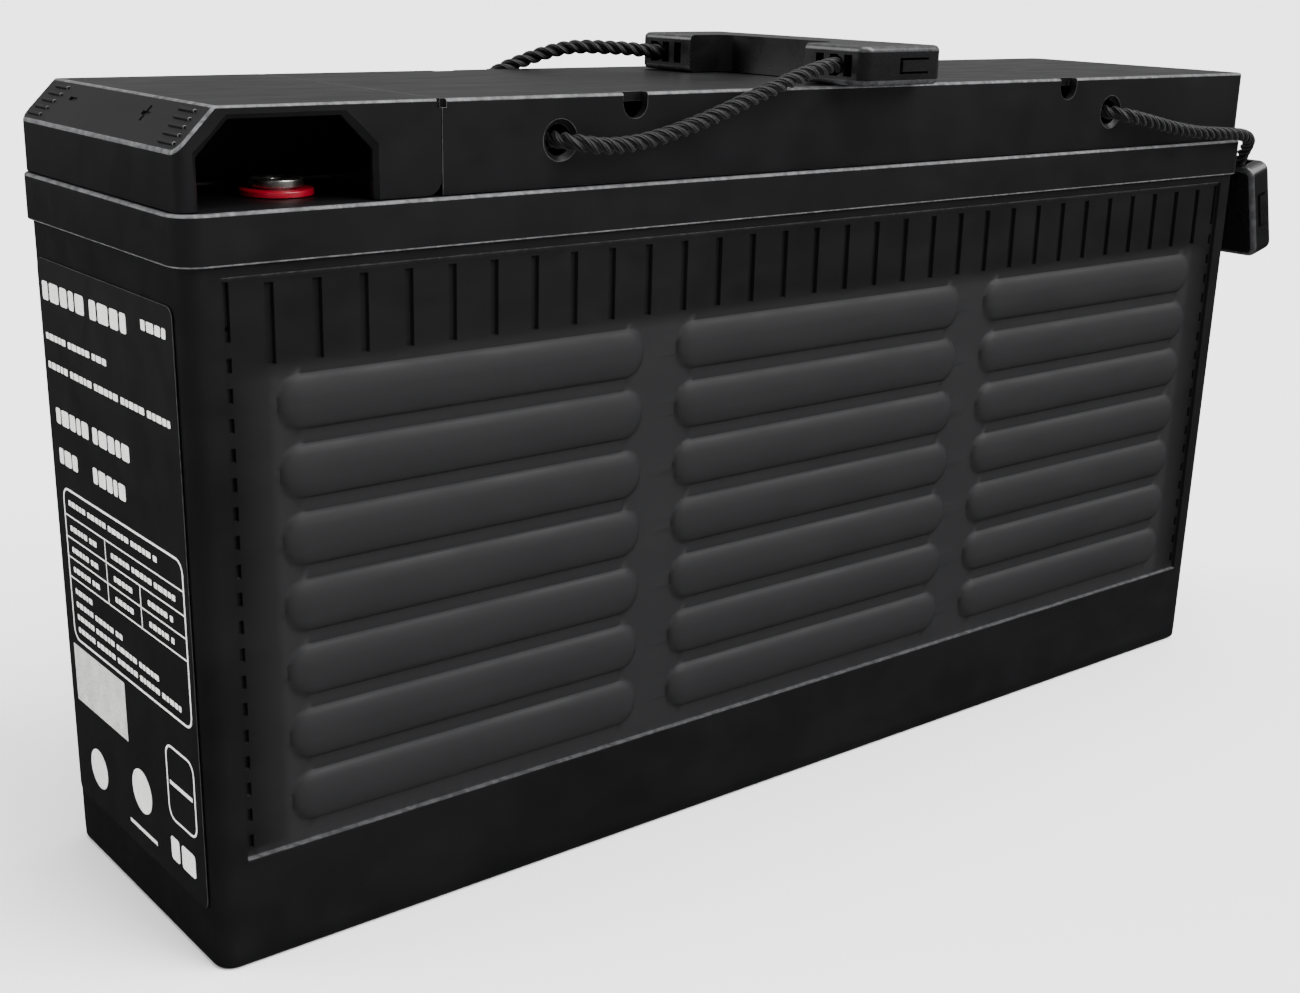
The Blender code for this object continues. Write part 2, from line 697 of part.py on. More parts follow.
def build_plate_group(number, positive):
    """A cell's plates of one kind, cast onto their strap."""
    centre = cell_centre(number)
    toward_rear = 1 if number <= 3 else -1
    lug_x = centre.x + (-1 if positive else 1) * toward_rear * LUG_OFFSET
    strap = block(
        (lug_x - STRAP_HALF_LENGTH, centre.y - STRAP_HALF_WIDTH, STRAP_BOTTOM),
        (lug_x + STRAP_HALF_LENGTH, centre.y + STRAP_HALF_WIDTH, STRAP_TOP),
    )
    kind = "positive" if positive else "negative"
    part = add_part(f"cell_{number}_{kind}_plates", strap, kind + "_plate")
    plates = bmesh.new()
    lugs = bmesh.new()
    for is_positive, y, thickness in plate_layers():
        if is_positive != positive:
            continue
        low_y = centre.y + y - thickness / 2
        high_y = centre.y + y + thickness / 2
        add_block(
            plates,
            (centre.x - PLATE_HALF_LENGTH, low_y, PLATE_BOTTOM),
            (centre.x + PLATE_HALF_LENGTH, high_y, PLATE_TOP),
        )
        add_block(
            lugs,
            (lug_x - LUG_WIDTH / 2, low_y + 0.2 * MM, PLATE_TOP - 2 * MM),
            (lug_x + LUG_WIDTH / 2, high_y - 0.2 * MM, STRAP_BOTTOM + 2 * MM),
        )
    join(part, add_cutter(f"cell_{number}_{kind}_lugs", lugs))
    join(part, add_cutter(f"cell_{number}_{kind}_sheets", plates))


def build_separators(number):
    """A cell's glass mat, folded round every plate from below."""
    centre = cell_centre(number)
    bm = block(
        (centre.x - MAT_HALF_LENGTH, centre.y - MAT_HALF_WIDTH, MAT_BOTTOM),
        (centre.x + MAT_HALF_LENGTH, centre.y + MAT_HALF_WIDTH, MAT_TOP),
    )
    part = add_part(f"cell_{number}_separators", bm, "glass_mat")
    pockets = bmesh.new()
    for _, y, thickness in plate_layers():
        add_block(
            pockets,
            (centre.x - PLATE_HALF_LENGTH - GAP, centre.y + y - thickness / 2 - GAP, PLATE_BOTTOM - GAP),
            (centre.x + PLATE_HALF_LENGTH + GAP, centre.y + y + thickness / 2 + GAP, MAT_TOP + 5 * MM),
        )
    cut(part, add_cutter(f"cell_{number}_pockets", pockets))


def build_links():
    """The lead bars that join each cell to the next through the partitions."""
    for number in range(1, 6):
        bm = block(*link_box(number, 0))
        add_part(f"intercell_link_{number}", bm, "lead")


def build_label():
    """The printed film on the container's front end, which follows the end's draft."""
    draft = (MOUTH_LENGTH - BASE_LENGTH) / 2 / MOUTH_HEIGHT
    bm = block((-0.3 * MM, -LABEL_WIDTH / 2, LABEL_BOTTOM), (0, LABEL_WIDTH / 2, LABEL_TOP))
    for vertex in bm.verts:
        vertex.co.x -= BASE_LENGTH / 2 + GAP + draft * vertex.co.z
    add_part("front_label", bm, "label_black")


def spline_through(route, samples):
    """A smooth curve through a route's points, read at an even spacing finer than the tube's."""
    points = [Vector(point) * MM for point in route]
    ends = [2 * points[0] - points[1], *points, 2 * points[-1] - points[-2]]
    curve = []
    for before, start, end, after in zip(ends, ends[1:], ends[2:], ends[3:]):
        for step in range(samples):
            t = step / samples
            curve.append(
                0.5
                * (
                    2 * start
                    + (end - before) * t
                    + (2 * before - 5 * start + 4 * end - after) * t**2
                    + (3 * start - before - 3 * end + after) * t**3
                )
            )
    curve.append(points[-1])
    return curve


def spaced(curve, step):
    """Points along a curve with about the given distance between them, with both of its ends."""
    lengths = [0.0]
    for first, second in zip(curve, curve[1:]):
        lengths.append(lengths[-1] + (second - first).length)
    count = round(lengths[-1] / step)
    result = []
    index = 0
    for number in range(count + 1):
        target = lengths[-1] * number / count
        while index < len(curve) - 2 and lengths[index + 1] < target:
            index += 1
        share = (target - lengths[index]) / (lengths[index + 1] - lengths[index])
        result.append(curve[index].lerp(curve[index + 1], min(share, 1)))
    return result


def tube_mesh(name, points, radius):
    """A closed tube along the points: a bevelled curve made a mesh, with its end caps welded on."""
    data = bpy.data.curves.new(name, "CURVE")
    data.dimensions = "3D"
    data.bevel_depth = radius
    data.bevel_resolution = 2
    data.use_fill_caps = True
    spline = data.splines.new("POLY")
    spline.points.add(len(points) - 1)
    for target, point in zip(spline.points, points):
        target.co = (*point, 1)
    curve = bpy.data.objects.new(name, data)
    cutters.objects.link(curve)
    evaluated = curve.evaluated_get(bpy.context.evaluated_depsgraph_get())
    mesh = bpy.data.meshes.new_from_object(evaluated)
    bpy.data.objects.remove(curve, do_unlink=True)
    bm = bmesh.new()
    bm.from_mesh(mesh)
    bpy.data.meshes.remove(mesh)
    bmesh.ops.remove_doubles(bm, verts=bm.verts, dist=0.01 * MM)
    return bm


def grip_blank(place):
    """A grip's outer form, turned and moved to its place: a flat bar with bevelled edges."""
    half = Vector((GRIP_WIDTH / 2, GRIP_LENGTH / 2, GRIP_THICKNESS / 2))
    bm = block(-half, half)
    bmesh.ops.bevel(
        bm, geom=bm.edges[:], offset=GRIP_EDGE, segments=1, profile=0.5, affect="EDGES", clamp_overlap=True
    )
    bm.transform(place)
    return bm


def build_handle(name, route, place, hole):
    """A carry handle: one rope through the grip, knotted behind the cover's near and far walls."""
    axis = add_axis(name + "_hinge", hole)
    curve = spline_through(route, ROUTE_SAMPLES)
    points = spaced(curve, ROPE_STEP)
    rope = add_part(name + "_rope", tube_mesh(name + "_tube", points, ROPE_DIAMETER / 2), "rope_black", axis)
    knots = bmesh.new()
    for end in (points[0], points[-1]):
        knot = Matrix.Translation(end)
        bmesh.ops.create_uvsphere(knots, u_segments=10, v_segments=6, radius=KNOT_RADIUS, matrix=knot)
    join(rope, add_cutter(name + "_knots", knots))
    smooth_round_faces(rope, 50)

    grip = add_part(name + "_grip", grip_blank(place), "grip_black", axis)
    recess = block(
        (-GRIP_WIDTH, -GRIP_RECESS_LENGTH / 2, -GRIP_THICKNESS),
        (-GRIP_WIDTH / 2 + GRIP_RECESS_DEPTH, GRIP_RECESS_LENGTH / 2, GRIP_THICKNESS),
    )
    bevel_edges(recess, 4 * MM, 2, lambda a, b: is_upright(a, b) and a.x > -GRIP_WIDTH / 2)
    recess.transform(place)
    cut(grip, add_cutter(name + "_recess", recess))
    channel = tube_mesh(name + "_channel", points, GRIP_CHANNEL_RADIUS)
    cut(grip, add_cutter(name + "_rope_channel", channel))


def build_handles():
    """The front handle lies on the cover, and the rear one hangs behind the rear end."""
    front_place = (
        Matrix.Translation(FRONT_GRIP_CENTRE)
        @ Matrix.Rotation(FRONT_GRIP_YAW, 4, "Z")
    )
    build_handle("front", FRONT_ROPE_ROUTE, front_place, (HOLE_X[0], 0, HOLE_Z))
    far_half = [(x, -y, z) for x, y, z in reversed(REAR_ROPE_HALF_ROUTE)]
    rear_place = (
        Matrix.Translation(REAR_GRIP_CENTRE)
        @ Matrix.Rotation(math.pi / 2 - REAR_GRIP_LEAN, 4, "Y")
    )
    build_handle("rear", (*REAR_ROPE_HALF_ROUTE, *far_half), rear_place, (HOLE_X[1], 0, HOLE_Z))


def build_battery():
    """Builds every piece of the battery."""
    build_container()
    build_lid()
    build_top_cover()
    build_terminal_cover()
    build_terminals()
    build_valves()
    build_valve_strip()
    for number in range(1, 7):
        build_plate_group(number, positive=True)
        build_plate_group(number, positive=False)
        build_separators(number)
    build_links()
    build_label()
    build_handles()


clear_scene()
parts = make_collection("deep_cycle_battery")
cutters = make_collection("cutters")
build_battery()
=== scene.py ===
"""The looks of a slim 12 V deep cycle battery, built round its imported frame.

+X runs along the battery to its rear end, +Y to its far side and +Z up. All sizes are in metres. Each class
below is one sub-assembly: its fields are its sizes, and its methods build its meshes and dress them.
"""

import logging
import math
from dataclasses import dataclass
from enum import Enum
from typing import Callable, Iterator, Sequence

import bmesh
import bpy
import numpy as np
from mathutils import Matrix, Vector


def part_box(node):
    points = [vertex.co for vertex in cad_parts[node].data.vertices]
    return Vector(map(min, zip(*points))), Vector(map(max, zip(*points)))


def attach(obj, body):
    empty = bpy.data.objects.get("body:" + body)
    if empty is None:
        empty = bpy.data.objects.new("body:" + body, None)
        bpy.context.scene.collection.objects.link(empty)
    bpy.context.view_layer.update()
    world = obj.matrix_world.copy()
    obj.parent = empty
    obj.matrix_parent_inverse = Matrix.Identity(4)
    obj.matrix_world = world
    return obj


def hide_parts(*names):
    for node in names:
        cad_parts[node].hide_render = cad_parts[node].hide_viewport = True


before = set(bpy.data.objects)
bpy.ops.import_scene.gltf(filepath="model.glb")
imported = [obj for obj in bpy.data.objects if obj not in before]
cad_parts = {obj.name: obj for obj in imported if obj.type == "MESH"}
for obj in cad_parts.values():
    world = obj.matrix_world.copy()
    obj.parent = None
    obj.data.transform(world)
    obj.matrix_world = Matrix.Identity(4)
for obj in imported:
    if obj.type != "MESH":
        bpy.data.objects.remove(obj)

MM = 0.001
GAP = 0.3 * MM
HAIR = 1e-6
log = logging.getLogger("battery")

Colour = tuple[float, float, float]
Point = tuple[float, float, float]
Flat = tuple[float, float]
BMesh = bmesh.types.BMesh
Mesh = bpy.types.Mesh
Object = bpy.types.Object
Socket = bpy.types.NodeSocket


class Body(Enum):
    """The moving bodies that pieces ride on."""

    BATTERY = "battery"
    TERMINAL_COVER = "terminal_cover"
    FRONT_HANDLE = "front_handle"
    REAR_HANDLE = "rear_handle"


# ---- Finishes ----


def tone(colour: Colour, factor: float = 1.0, lift: float = 0.0) -> tuple[float, float, float, float]:
    """Turns a display colour into the linear values that a shader holds.

    Args:
        colour: Red, green and blue, 0 to 255.
        factor: What each is multiplied by.
        lift: What is then added to each.

    Returns:
        The linear colour, with an alpha of 1.
    """
    shown = [c * factor + lift for c in colour]
    linear = [((c / 255 + 0.055) / 1.055) ** 2.4 if c > 10 else c / 255 / 12.92 for c in shown]
    return (*linear, 1.0)


class Shader:
    """The node tree of one material, with short methods that add and join its nodes."""

    def __init__(self, name: str) -> None:
        """Starts a material with its principled shader."""
        self.material = bpy.data.materials.new(name)
        self.material.use_nodes = True
        self.tree = self.material.node_tree
        self.surface = self.tree.nodes["Principled BSDF"]
        self.place = self.tree.nodes.new("ShaderNodeTexCoord").outputs["Object"]

    def fill(self, socket: Socket, value: object) -> None:
        """Joins an output to a socket, or sets the socket to a plain value."""
        if isinstance(value, Socket):
            self.tree.links.new(value, socket)
        else:
            socket.default_value = value

    def set(self, **values: object) -> None:
        """Fills sockets of the principled shader; an underscore in a name stands for a space."""
        for name, value in values.items():
            self.fill(self.surface.inputs[name.replace("_", " ")], value)

    def node(self, kind: str, **inputs: object) -> bpy.types.Node:
        """Adds a node, named without the word ShaderNode, and fills its inputs."""
        made = self.tree.nodes.new("ShaderNode" + kind)
        for name, value in inputs.items():
            self.fill(made.inputs[name.replace("_", " ")], value)
        return made

    def math(self, operation: str, first: object, second: object = 0.0) -> Socket:
        """The output of a Math node, whose inputs are outputs or numbers."""
        made = self.node("Math")
        made.operation = operation
        self.fill(made.inputs[0], first)
        self.fill(made.inputs[1], second)
        return made.outputs[0]

    def times(self, first: object, second: object) -> Socket:
        """A product."""
        return self.math("MULTIPLY", first, second)

    def plus(self, first: object, second: object) -> Socket:
        """A sum."""
        return self.math("ADD", first, second)

    def noise(self, size: float, detail: float, place: Socket | None = None, warp: float = 0.0) -> Socket:
        """Adds a noise of a real size.

        Args:
            size: The size of its blotches, in metres.
            detail: How many finer layers it has.
            place: The coordinates it is read at, or None for the piece's own.
            warp: How far it is distorted.

        Returns:
            Its value, 0 to 1.
        """
        where = self.place if place is None else place
        made = self.node("TexNoise", Vector=where, Scale=1 / size, Detail=detail, Distortion=warp)
        return made.outputs["Fac"]

    def stretched(self, factors: Point) -> Socket:
        """Coordinates scaled along each axis, which draws a noise out into streaks."""
        return self.node("Mapping", Vector=self.place, Scale=factors).outputs["Vector"]

    def spread(self, source: Socket, low: float, high: float, start: float = 0.0, end: float = 1.0) -> Socket:
        """Maps a value from the range low to high onto start to end, clamped."""
        made = self.node("MapRange", Value=source, From_Min=low, From_Max=high, To_Min=start, To_Max=end)
        return made.outputs["Result"]

    def blend(self, factor: object, first: object, second: object) -> Socket:
        """Mixes two colours by the share of the second."""
        made = self.node("Mix")
        made.data_type = "RGBA"
        for index, value in ((0, factor), (6, first), (7, second)):
            self.fill(made.inputs[index], value)
        return made.outputs[2]

    def attribute(self, name: str, output: str = "Fac") -> Socket:
        """A value stored on the mesh."""
        made = self.node("Attribute")
        made.attribute_name = name
        return made.outputs[output]

    def bump(self, height: Socket, depth: float, under: Socket | None = None) -> Socket:
        """Adds a relief of a real depth, over the normal of another relief where one is given."""
        made = self.node("Bump", Height=height, Distance=depth, Strength=1.0)
        if under is not None:
            self.fill(made.inputs["Normal"], under)
        return made.outputs["Normal"]


@dataclass(frozen=True)
class Finish:
    """What a surface is made of; each kind below lays out its own procedural material."""

    name: str
    colour: Colour

    def lay(self, s: Shader) -> None:
        """Adds the finish's nodes to a new material."""
        raise NotImplementedError

    def material(self) -> bpy.types.Material:
        """The material, built once and then shared."""
        made = bpy.data.materials.get(self.name)
        if made is None:
            shader = Shader(self.name)
            self.lay(shader)
            made = shader.material
        return made


@dataclass(frozen=True)
class MouldedPlastic(Finish):
    """Satin moulded plastic: mottled, finely grained, a little wavy and painted paler along its rounded
    edges, as edge wear and a painted highlight.
    """

    spread: float = 0.16
    roughness: Flat = (0.36, 0.5)
    grain: float = 0.45 * MM
    grain_depth: float = 0.012 * MM
    wave_depth: float = 0.12 * MM
    # The pale edge colour and its strength: edge wear plus a painted highlight along the rounded edges.
    worn: Colour = (128, 128, 130)
    wear_and_highlight: float = 0.5
    gloss: float = 0.5
    coat: float = 0.0

    def lay(self, s: Shader) -> None:
        """Mottle, pale edges and grain; the attribute zone pales and dulls, and the edge attribute paints the
        rounded edges pale, as edge wear and a painted highlight.
        """
        s.set(IOR=1.5, Specular_IOR_Level=self.gloss, Coat_Weight=self.coat, Coat_Roughness=0.12)
        mottle = s.times(s.noise(14 * MM, 4.0), 0.45)
        mixed = s.plus(mottle, s.times(s.noise(70 * MM, 2.0, warp=0.6), 0.55))
        dark, light = tone(self.colour, 1 - self.spread), tone(self.colour, 1 + self.spread)
        base = s.blend(s.spread(mixed, 0.38, 0.62), dark, light)
        zone = s.attribute("zone")
        base = s.blend(s.times(zone, 0.85), base, tone(self.colour, 1.2, 12))
        # Rounded edges painted pale in patches: part edge wear, part painted highlight.
        patchy_edge = s.spread(s.noise(2.6 * MM, 5.0, warp=0.8), 0.36, 0.66, 0.4, 1.0)
        rubbed_edge_highlight = s.times(s.attribute("wear_and_highlight"), s.times(patchy_edge, self.wear_and_highlight))
        grain = s.noise(self.grain, 2.0)
        smear = s.noise(9 * MM, 3.0, s.stretched((0.35, 1.0, 1.0)), 0.5)
        matt = s.spread(s.plus(smear, s.times(grain, 0.35)), 0.45, 0.9, *self.roughness)
        wavy = s.bump(s.noise(38 * MM, 1.0), self.wave_depth)
        s.set(
            Base_Color=s.blend(rubbed_edge_highlight, base, tone(self.worn)),
            Roughness=s.plus(matt, s.times(zone, 0.16)),
            Normal=s.bump(grain, self.grain_depth, wavy),
        )


@dataclass(frozen=True)
class TwistedFibre(Finish):
    """Laid polypropylene rope: each strand is a bundle of fine, glinting yarns."""

    yarns: float = 7.0
    twist: float = 9 * MM

    def lay(self, s: Shader) -> None:
        """Winds the yarns round the strand coordinates stored on the rope, painting each yarn lighter on its
        crown and darker in the gaps between yarns: painted highlight and painted shade.
        """
        where = s.attribute("strand", "Vector")
        axes = s.node("SeparateXYZ", Vector=where).outputs
        angle = s.times(s.math("ARCTAN2", axes["Y"], axes["X"]), self.yarns)
        turn = s.times(axes["Z"], math.tau / self.twist)
        wander = s.times(s.noise(3 * MM, 2.0, where), 3.0)
        yarn = s.spread(s.math("SINE", s.plus(s.plus(angle, turn), wander)), -1.0, 1.0)
        fuzz = s.noise(0.5 * MM, 3.0)
        # Painted highlight on the yarn crowns and painted shade in the gaps between them.
        shine = s.times(yarn, s.spread(fuzz, 0.3, 0.7, 0.5))
        s.set(
            Specular_IOR_Level=0.18, Sheen_Weight=0.05, Sheen_Roughness=0.5,
            Base_Color=s.blend(shine, tone(self.colour, 0.55), tone(self.colour, 1.35)),
            Roughness=s.spread(fuzz, 0.3, 0.7, 0.42, 0.68),
            Normal=s.bump(fuzz, 0.05 * MM, s.bump(yarn, 0.16 * MM)),
        )


@dataclass(frozen=True)
class TurnedMetal(Finish):
    """Tinned metal with the fine rings that a lathe leaves, a few stains and rubbed edges."""

    centre: Point
    ring: float = 0.32 * MM

    def lay(self, s: Shader) -> None:
        """Draws the rings about the upright line through the centre."""
        moved = s.node("Mapping", Vector=s.place, Location=[-c for c in self.centre]).outputs["Vector"]
        axes = s.node("SeparateXYZ", Vector=moved).outputs
        radius = s.math("SQRT", s.plus(s.math("POWER", axes["X"], 2.0), s.math("POWER", axes["Y"], 2.0)))
        rings = s.spread(s.math("SINE", s.times(radius, math.tau / self.ring)), -1.0, 1.0)
        stain = s.noise(3 * MM, 4.0, warp=0.7)
        s.set(
            Metallic=1.0,
            Base_Color=s.blend(s.spread(stain, 0.4, 0.7), tone(self.colour), tone(self.colour, 0.62)),
            Roughness=s.spread(s.plus(stain, s.times(rings, 0.25)), 0.4, 1.0, 0.2, 0.45),
            Normal=s.bump(rings, 0.006 * MM, s.bump(s.noise(0.6 * MM, 3.0), 0.012 * MM)),
        )


@dataclass(frozen=True)
class Ink(Finish):
    """Screen-printed ink, a little thin and speckled where it covers the grain."""

    ground: Colour
    thin: float = 0.35

    def lay(self, s: Shader) -> None:
        """Lets the ground show through in specks and patches."""
        speck = s.spread(s.noise(0.7 * MM, 3.0), 0.52, 0.8)
        patchy = s.spread(s.noise(6 * MM, 2.0), 0.35, 0.65)
        worn = s.times(s.plus(speck, s.times(patchy, 0.4)), self.thin)
        s.set(
            Specular_IOR_Level=0.35,
            Base_Color=s.blend(worn, tone(self.colour), tone(self.ground)),
            Roughness=s.spread(patchy, 0.0, 1.0, 0.45, 0.62),
            Normal=s.bump(speck, 0.01 * MM),
        )


@dataclass(frozen=True)
class SoftRubber(Finish):
    """Matt moulded rubber with a dusty bloom."""

    roughness: Flat = (0.6, 0.85)

    def lay(self, s: Shader) -> None:
        """Spreads the bloom over a fine grain."""
        bloom = s.noise(5 * MM, 4.0, warp=0.5)
        dust = s.spread(bloom, 0.42, 0.75, 0.0, 0.6)
        s.set(
            Base_Color=s.blend(dust, tone(self.colour), tone(self.colour, 1.7, 8)),
            Roughness=s.spread(bloom, 0.3, 0.7, *self.roughness),
            Normal=s.bump(s.noise(0.4 * MM, 2.0), 0.03 * MM),
        )


@dataclass(frozen=True)
class PastedPlate(Finish):
    """A lead grid filled with dried active paste: the grid shows through as faint raised wires."""

    wire: Colour
    pitch: float = 9 * MM

    def lay(self, s: Shader) -> None:
        """Lays paste between the wires, which run across and up."""
        axes = s.node("SeparateXYZ", Vector=s.place).outputs
        swings = (s.math("COSINE", s.times(axes[axis], math.tau / self.pitch)) for axis in ("X", "Z"))
        grid = s.math("MAXIMUM", *(s.spread(swing, 0.9, 0.99) for swing in swings))
        paste = s.noise(1.8 * MM, 5.0, warp=0.4)
        body = s.blend(s.spread(paste, 0.35, 0.7), tone(self.colour, 0.72), tone(self.colour))
        s.set(
            Base_Color=s.blend(s.times(grid, 0.55), body, tone(self.wire)),
            Roughness=s.spread(grid, 0.0, 1.0, 0.9, 0.55),
            Normal=s.bump(paste, 0.12 * MM, s.bump(grid, 0.15 * MM)),
        )


@dataclass(frozen=True)
class GlassFelt(Finish):
    """Compressed glass mat: white, matt and fibrous."""

    def lay(self, s: Shader) -> None:
        """Draws the fibres out along the mat, with damp patches."""
        fibre = s.noise(0.8 * MM, 5.0, s.stretched((0.25, 1.0, 1.0)), 1.5)
        blot = s.times(s.spread(fibre, 0.3, 0.7), s.spread(s.noise(26 * MM, 3.0), 0.3, 0.7, 0.4))
        s.set(
            Sheen_Weight=0.3,
            Base_Color=s.blend(blot, tone(self.colour), tone(self.colour, 0.84)),
            Roughness=s.spread(fibre, 0.2, 0.8, 0.85, 1.0),
            Normal=s.bump(fibre, 0.2 * MM),
        )


@dataclass(frozen=True)
class CastLead(Finish):
    """Cast lead: dull, with flow marks."""

    def lay(self, s: Shader) -> None:
        """Makes the flow marks."""
        skin = s.noise(4 * MM, 5.0, warp=1.0)
        s.set(
            Metallic=1.0,
            Base_Color=s.blend(s.spread(skin, 0.35, 0.65), tone(self.colour, 0.6), tone(self.colour)),
            Roughness=s.spread(skin, 0.3, 0.7, 0.4, 0.65),
            Normal=s.bump(skin, 0.15 * MM),
        )


@dataclass(frozen=True)
class StudioPaper(Finish):
    """The pale paper of the studio floor."""

    def lay(self, s: Shader) -> None:
        """Gives the paper its faint clouds."""
        s.set(
            Specular_IOR_Level=0.1,
            Base_Color=s.blend(s.noise(400 * MM, 2.0), tone(self.colour), tone(self.colour, 0.985)),
            Roughness=s.spread(s.noise(2 * MM, 2.0), 0.0, 1.0, 0.8, 0.95),
        )


# ---- Shaping tools ----


def add_object(name: str, data: bpy.types.ID) -> Object:
    """Puts a mesh, light or camera in the scene."""
    made = bpy.data.objects.new(name, data)
    bpy.context.scene.collection.objects.link(made)
    return made


def new_object(name: str, shape: BMesh, crease: float | None = None) -> Object:
    """Makes an object from a bmesh, which is used up.

    Args:
        name: The object's name.
        shape: Its shape.
        crease: The angle in degrees from which an edge looks sharp, or None for smooth edges only.

    Returns:
        The new object.
    """
    mesh = bpy.data.meshes.new(name)
    bmesh.ops.recalc_face_normals(shape, faces=shape.faces)
    shape.to_mesh(mesh)
    shape.free()
    mesh.shade_smooth()
    if crease is not None:
        mesh.set_sharp_from_angle(angle=math.radians(crease))
    return add_object(name, mesh)


def evaluated_mesh(piece: Object) -> Mesh:
    """The piece's mesh with its modifiers worked in."""
    bpy.context.view_layer.update()
    graph = bpy.context.evaluated_depsgraph_get()
    return bpy.data.meshes.new_from_object(piece.evaluated_get(graph), depsgraph=graph)


def tube_mesh(name: str, rings: np.ndarray) -> Mesh:
    """A closed tube through rings of points, with its two end faces.

    Args:
        name: The mesh's name.
        rings: The points, as rings by points by three.

    Returns:
        The mesh.
    """
    count, around = rings.shape[:2]
    faces = [
        (row + k, row + (k + 1) % around, row + around + (k + 1) % around, row + around + k)
        for row in range(0, (count - 1) * around, around)
        for k in range(around)
    ]
    faces += [tuple(range(around))[::-1], tuple(range((count - 1) * around, count * around))]
    mesh = bpy.data.meshes.new(name)
    mesh.from_pydata(rings.reshape(-1, 3), [], faces)
    return mesh


def store(mesh: Mesh, name: str, values: np.ndarray, domain: str = "POINT") -> None:
    """Keeps a number, or a vector, for each point or corner of a mesh, for its material to read."""
    kind, key = ("FLOAT_VECTOR", "vector") if values.ndim == 2 else ("FLOAT", "value")
    layer = mesh.attributes.new(name, kind, domain)
    layer.data.foreach_set(key, np.ascontiguousarray(values, np.float32).ravel())


def dress(piece: Object, finish: Finish, slot: str, body: Body | str, *stands_for: str) -> Object:
    """Gives a piece its material, hangs it on its body and hides the plain nodes it replaces.

    Args:
        piece: The piece.
        finish: Its finish.
        slot: Not used.
        body: The body it moves with.
        stands_for: The plain nodes that it replaces.

    Returns:
        The piece.
    """
    piece.data.materials.clear()
    piece.data.materials.append(finish.material())
    name = body.value if isinstance(body, Body) else body
    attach(piece, name)
    if stands_for:
        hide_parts(*stands_for)
    log.info("%s: %d faces, rides on %s", piece.name, len(piece.data.polygons), name)
    return piece


class Blank:
    """A solid being worked: shapes are cut from it or joined to it, then its edges are rounded."""

    def __init__(self, name: str, shape: BMesh) -> None:
        """Starts from a closed shape, with a second empty slot for faces that are painted pale, as worn and
        highlit edges.
        """
        self.piece = new_object(name, shape)
        for _ in range(2):
            self.piece.data.materials.append(None)
        self.tools: list[Object] = []

    def _work(self, shape: BMesh, operation: str) -> "Blank":
        """Adds one Boolean step."""
        tool = new_object(self.piece.name + "_tool", shape)
        step = self.piece.modifiers.new(operation, "BOOLEAN")
        step.operation = operation
        step.solver = "EXACT"
        step.object = tool
        self.tools.append(tool)
        return self

    def cut(self, shape: BMesh) -> "Blank":
        """Takes a shape away."""
        return self._work(shape, "DIFFERENCE")

    def join(self, shape: BMesh) -> "Blank":
        """Adds a shape."""
        return self._work(shape, "UNION")

    def settle(self, edge: float, segments: int = 3, angle: float = 30.0) -> Object:
        """Works everything in, rounds the sharp edges and marks them to be painted pale, as edge wear and a
        painted highlight.

        Args:
            edge: The width of the rounding.
            segments: How many facets it has.
            angle: The least angle between faces that counts as sharp, in degrees.

        Returns:
            The finished piece.
        """
        piece = self.piece
        if self.tools:
            piece.data = evaluated_mesh(piece)
            piece.modifiers.clear()
            for tool in self.tools:
                bpy.data.objects.remove(tool, do_unlink=True)
        piece.data.shade_smooth()
        rounding = piece.modifiers.new("rounding", "BEVEL")
        rounding.width = edge
        rounding.segments = segments
        rounding.limit_method = "ANGLE"
        rounding.angle_limit = math.radians(angle)
        rounding.material = 1
        rounding.use_clamp_overlap = True
        piece.modifiers.new("normals", "WEIGHTED_NORMAL")
        mesh = evaluated_mesh(piece)
        piece.modifiers.clear()
        piece.data = mesh
        marks, corners = np.zeros((2, len(mesh.polygons)), np.int32)
        mesh.polygons.foreach_get("material_index", marks)
        mesh.polygons.foreach_get("loop_total", corners)
        # The marked roundings get the pale edge colour: edge wear and a painted highlight.
        store(mesh, "wear_and_highlight", np.repeat(marks, corners), "CORNER")
        mesh.polygons.foreach_set("material_index", np.zeros_like(marks))
        return piece


def add_box(shape: BMesh, low: Sequence[float], high: Sequence[float]) -> None:
    """Adds a box between two corners."""
    low, high = Vector(low), Vector(high)
    matrix = Matrix.Translation((low + high) / 2) @ Matrix.Diagonal((*(high - low), 1))
    bmesh.ops.create_cube(shape, size=1, matrix=matrix)


def box(low: Sequence[float], high: Sequence[float]) -> BMesh:
    """A new bmesh with one box between two corners."""
    shape = bmesh.new()
    add_box(shape, low, high)
    return shape


def add_rod(
    shape: BMesh, start: Sequence[float], end: Sequence[float], radius: float, sides: int = 40,
    end_radius: float | None = None,
) -> None:
    """Adds a closed rod, or a cone where its end has another radius.

    Args:
        shape: The bmesh it is added to.
        start: The middle of its first end.
        end: The middle of its other end.
        radius: Its radius.
        sides: How many sides it has.
        end_radius: Its radius at the other end, where that differs.
    """
    start, end = Vector(start), Vector(end)
    turn = (end - start).to_track_quat("Z", "Y").to_matrix().to_4x4()
    last = radius if end_radius is None else end_radius
    bmesh.ops.create_cone(
        shape, cap_ends=True, segments=sides, radius1=radius, radius2=last, depth=(end - start).length,
        matrix=Matrix.Translation((start + end) / 2) @ turn,
    )


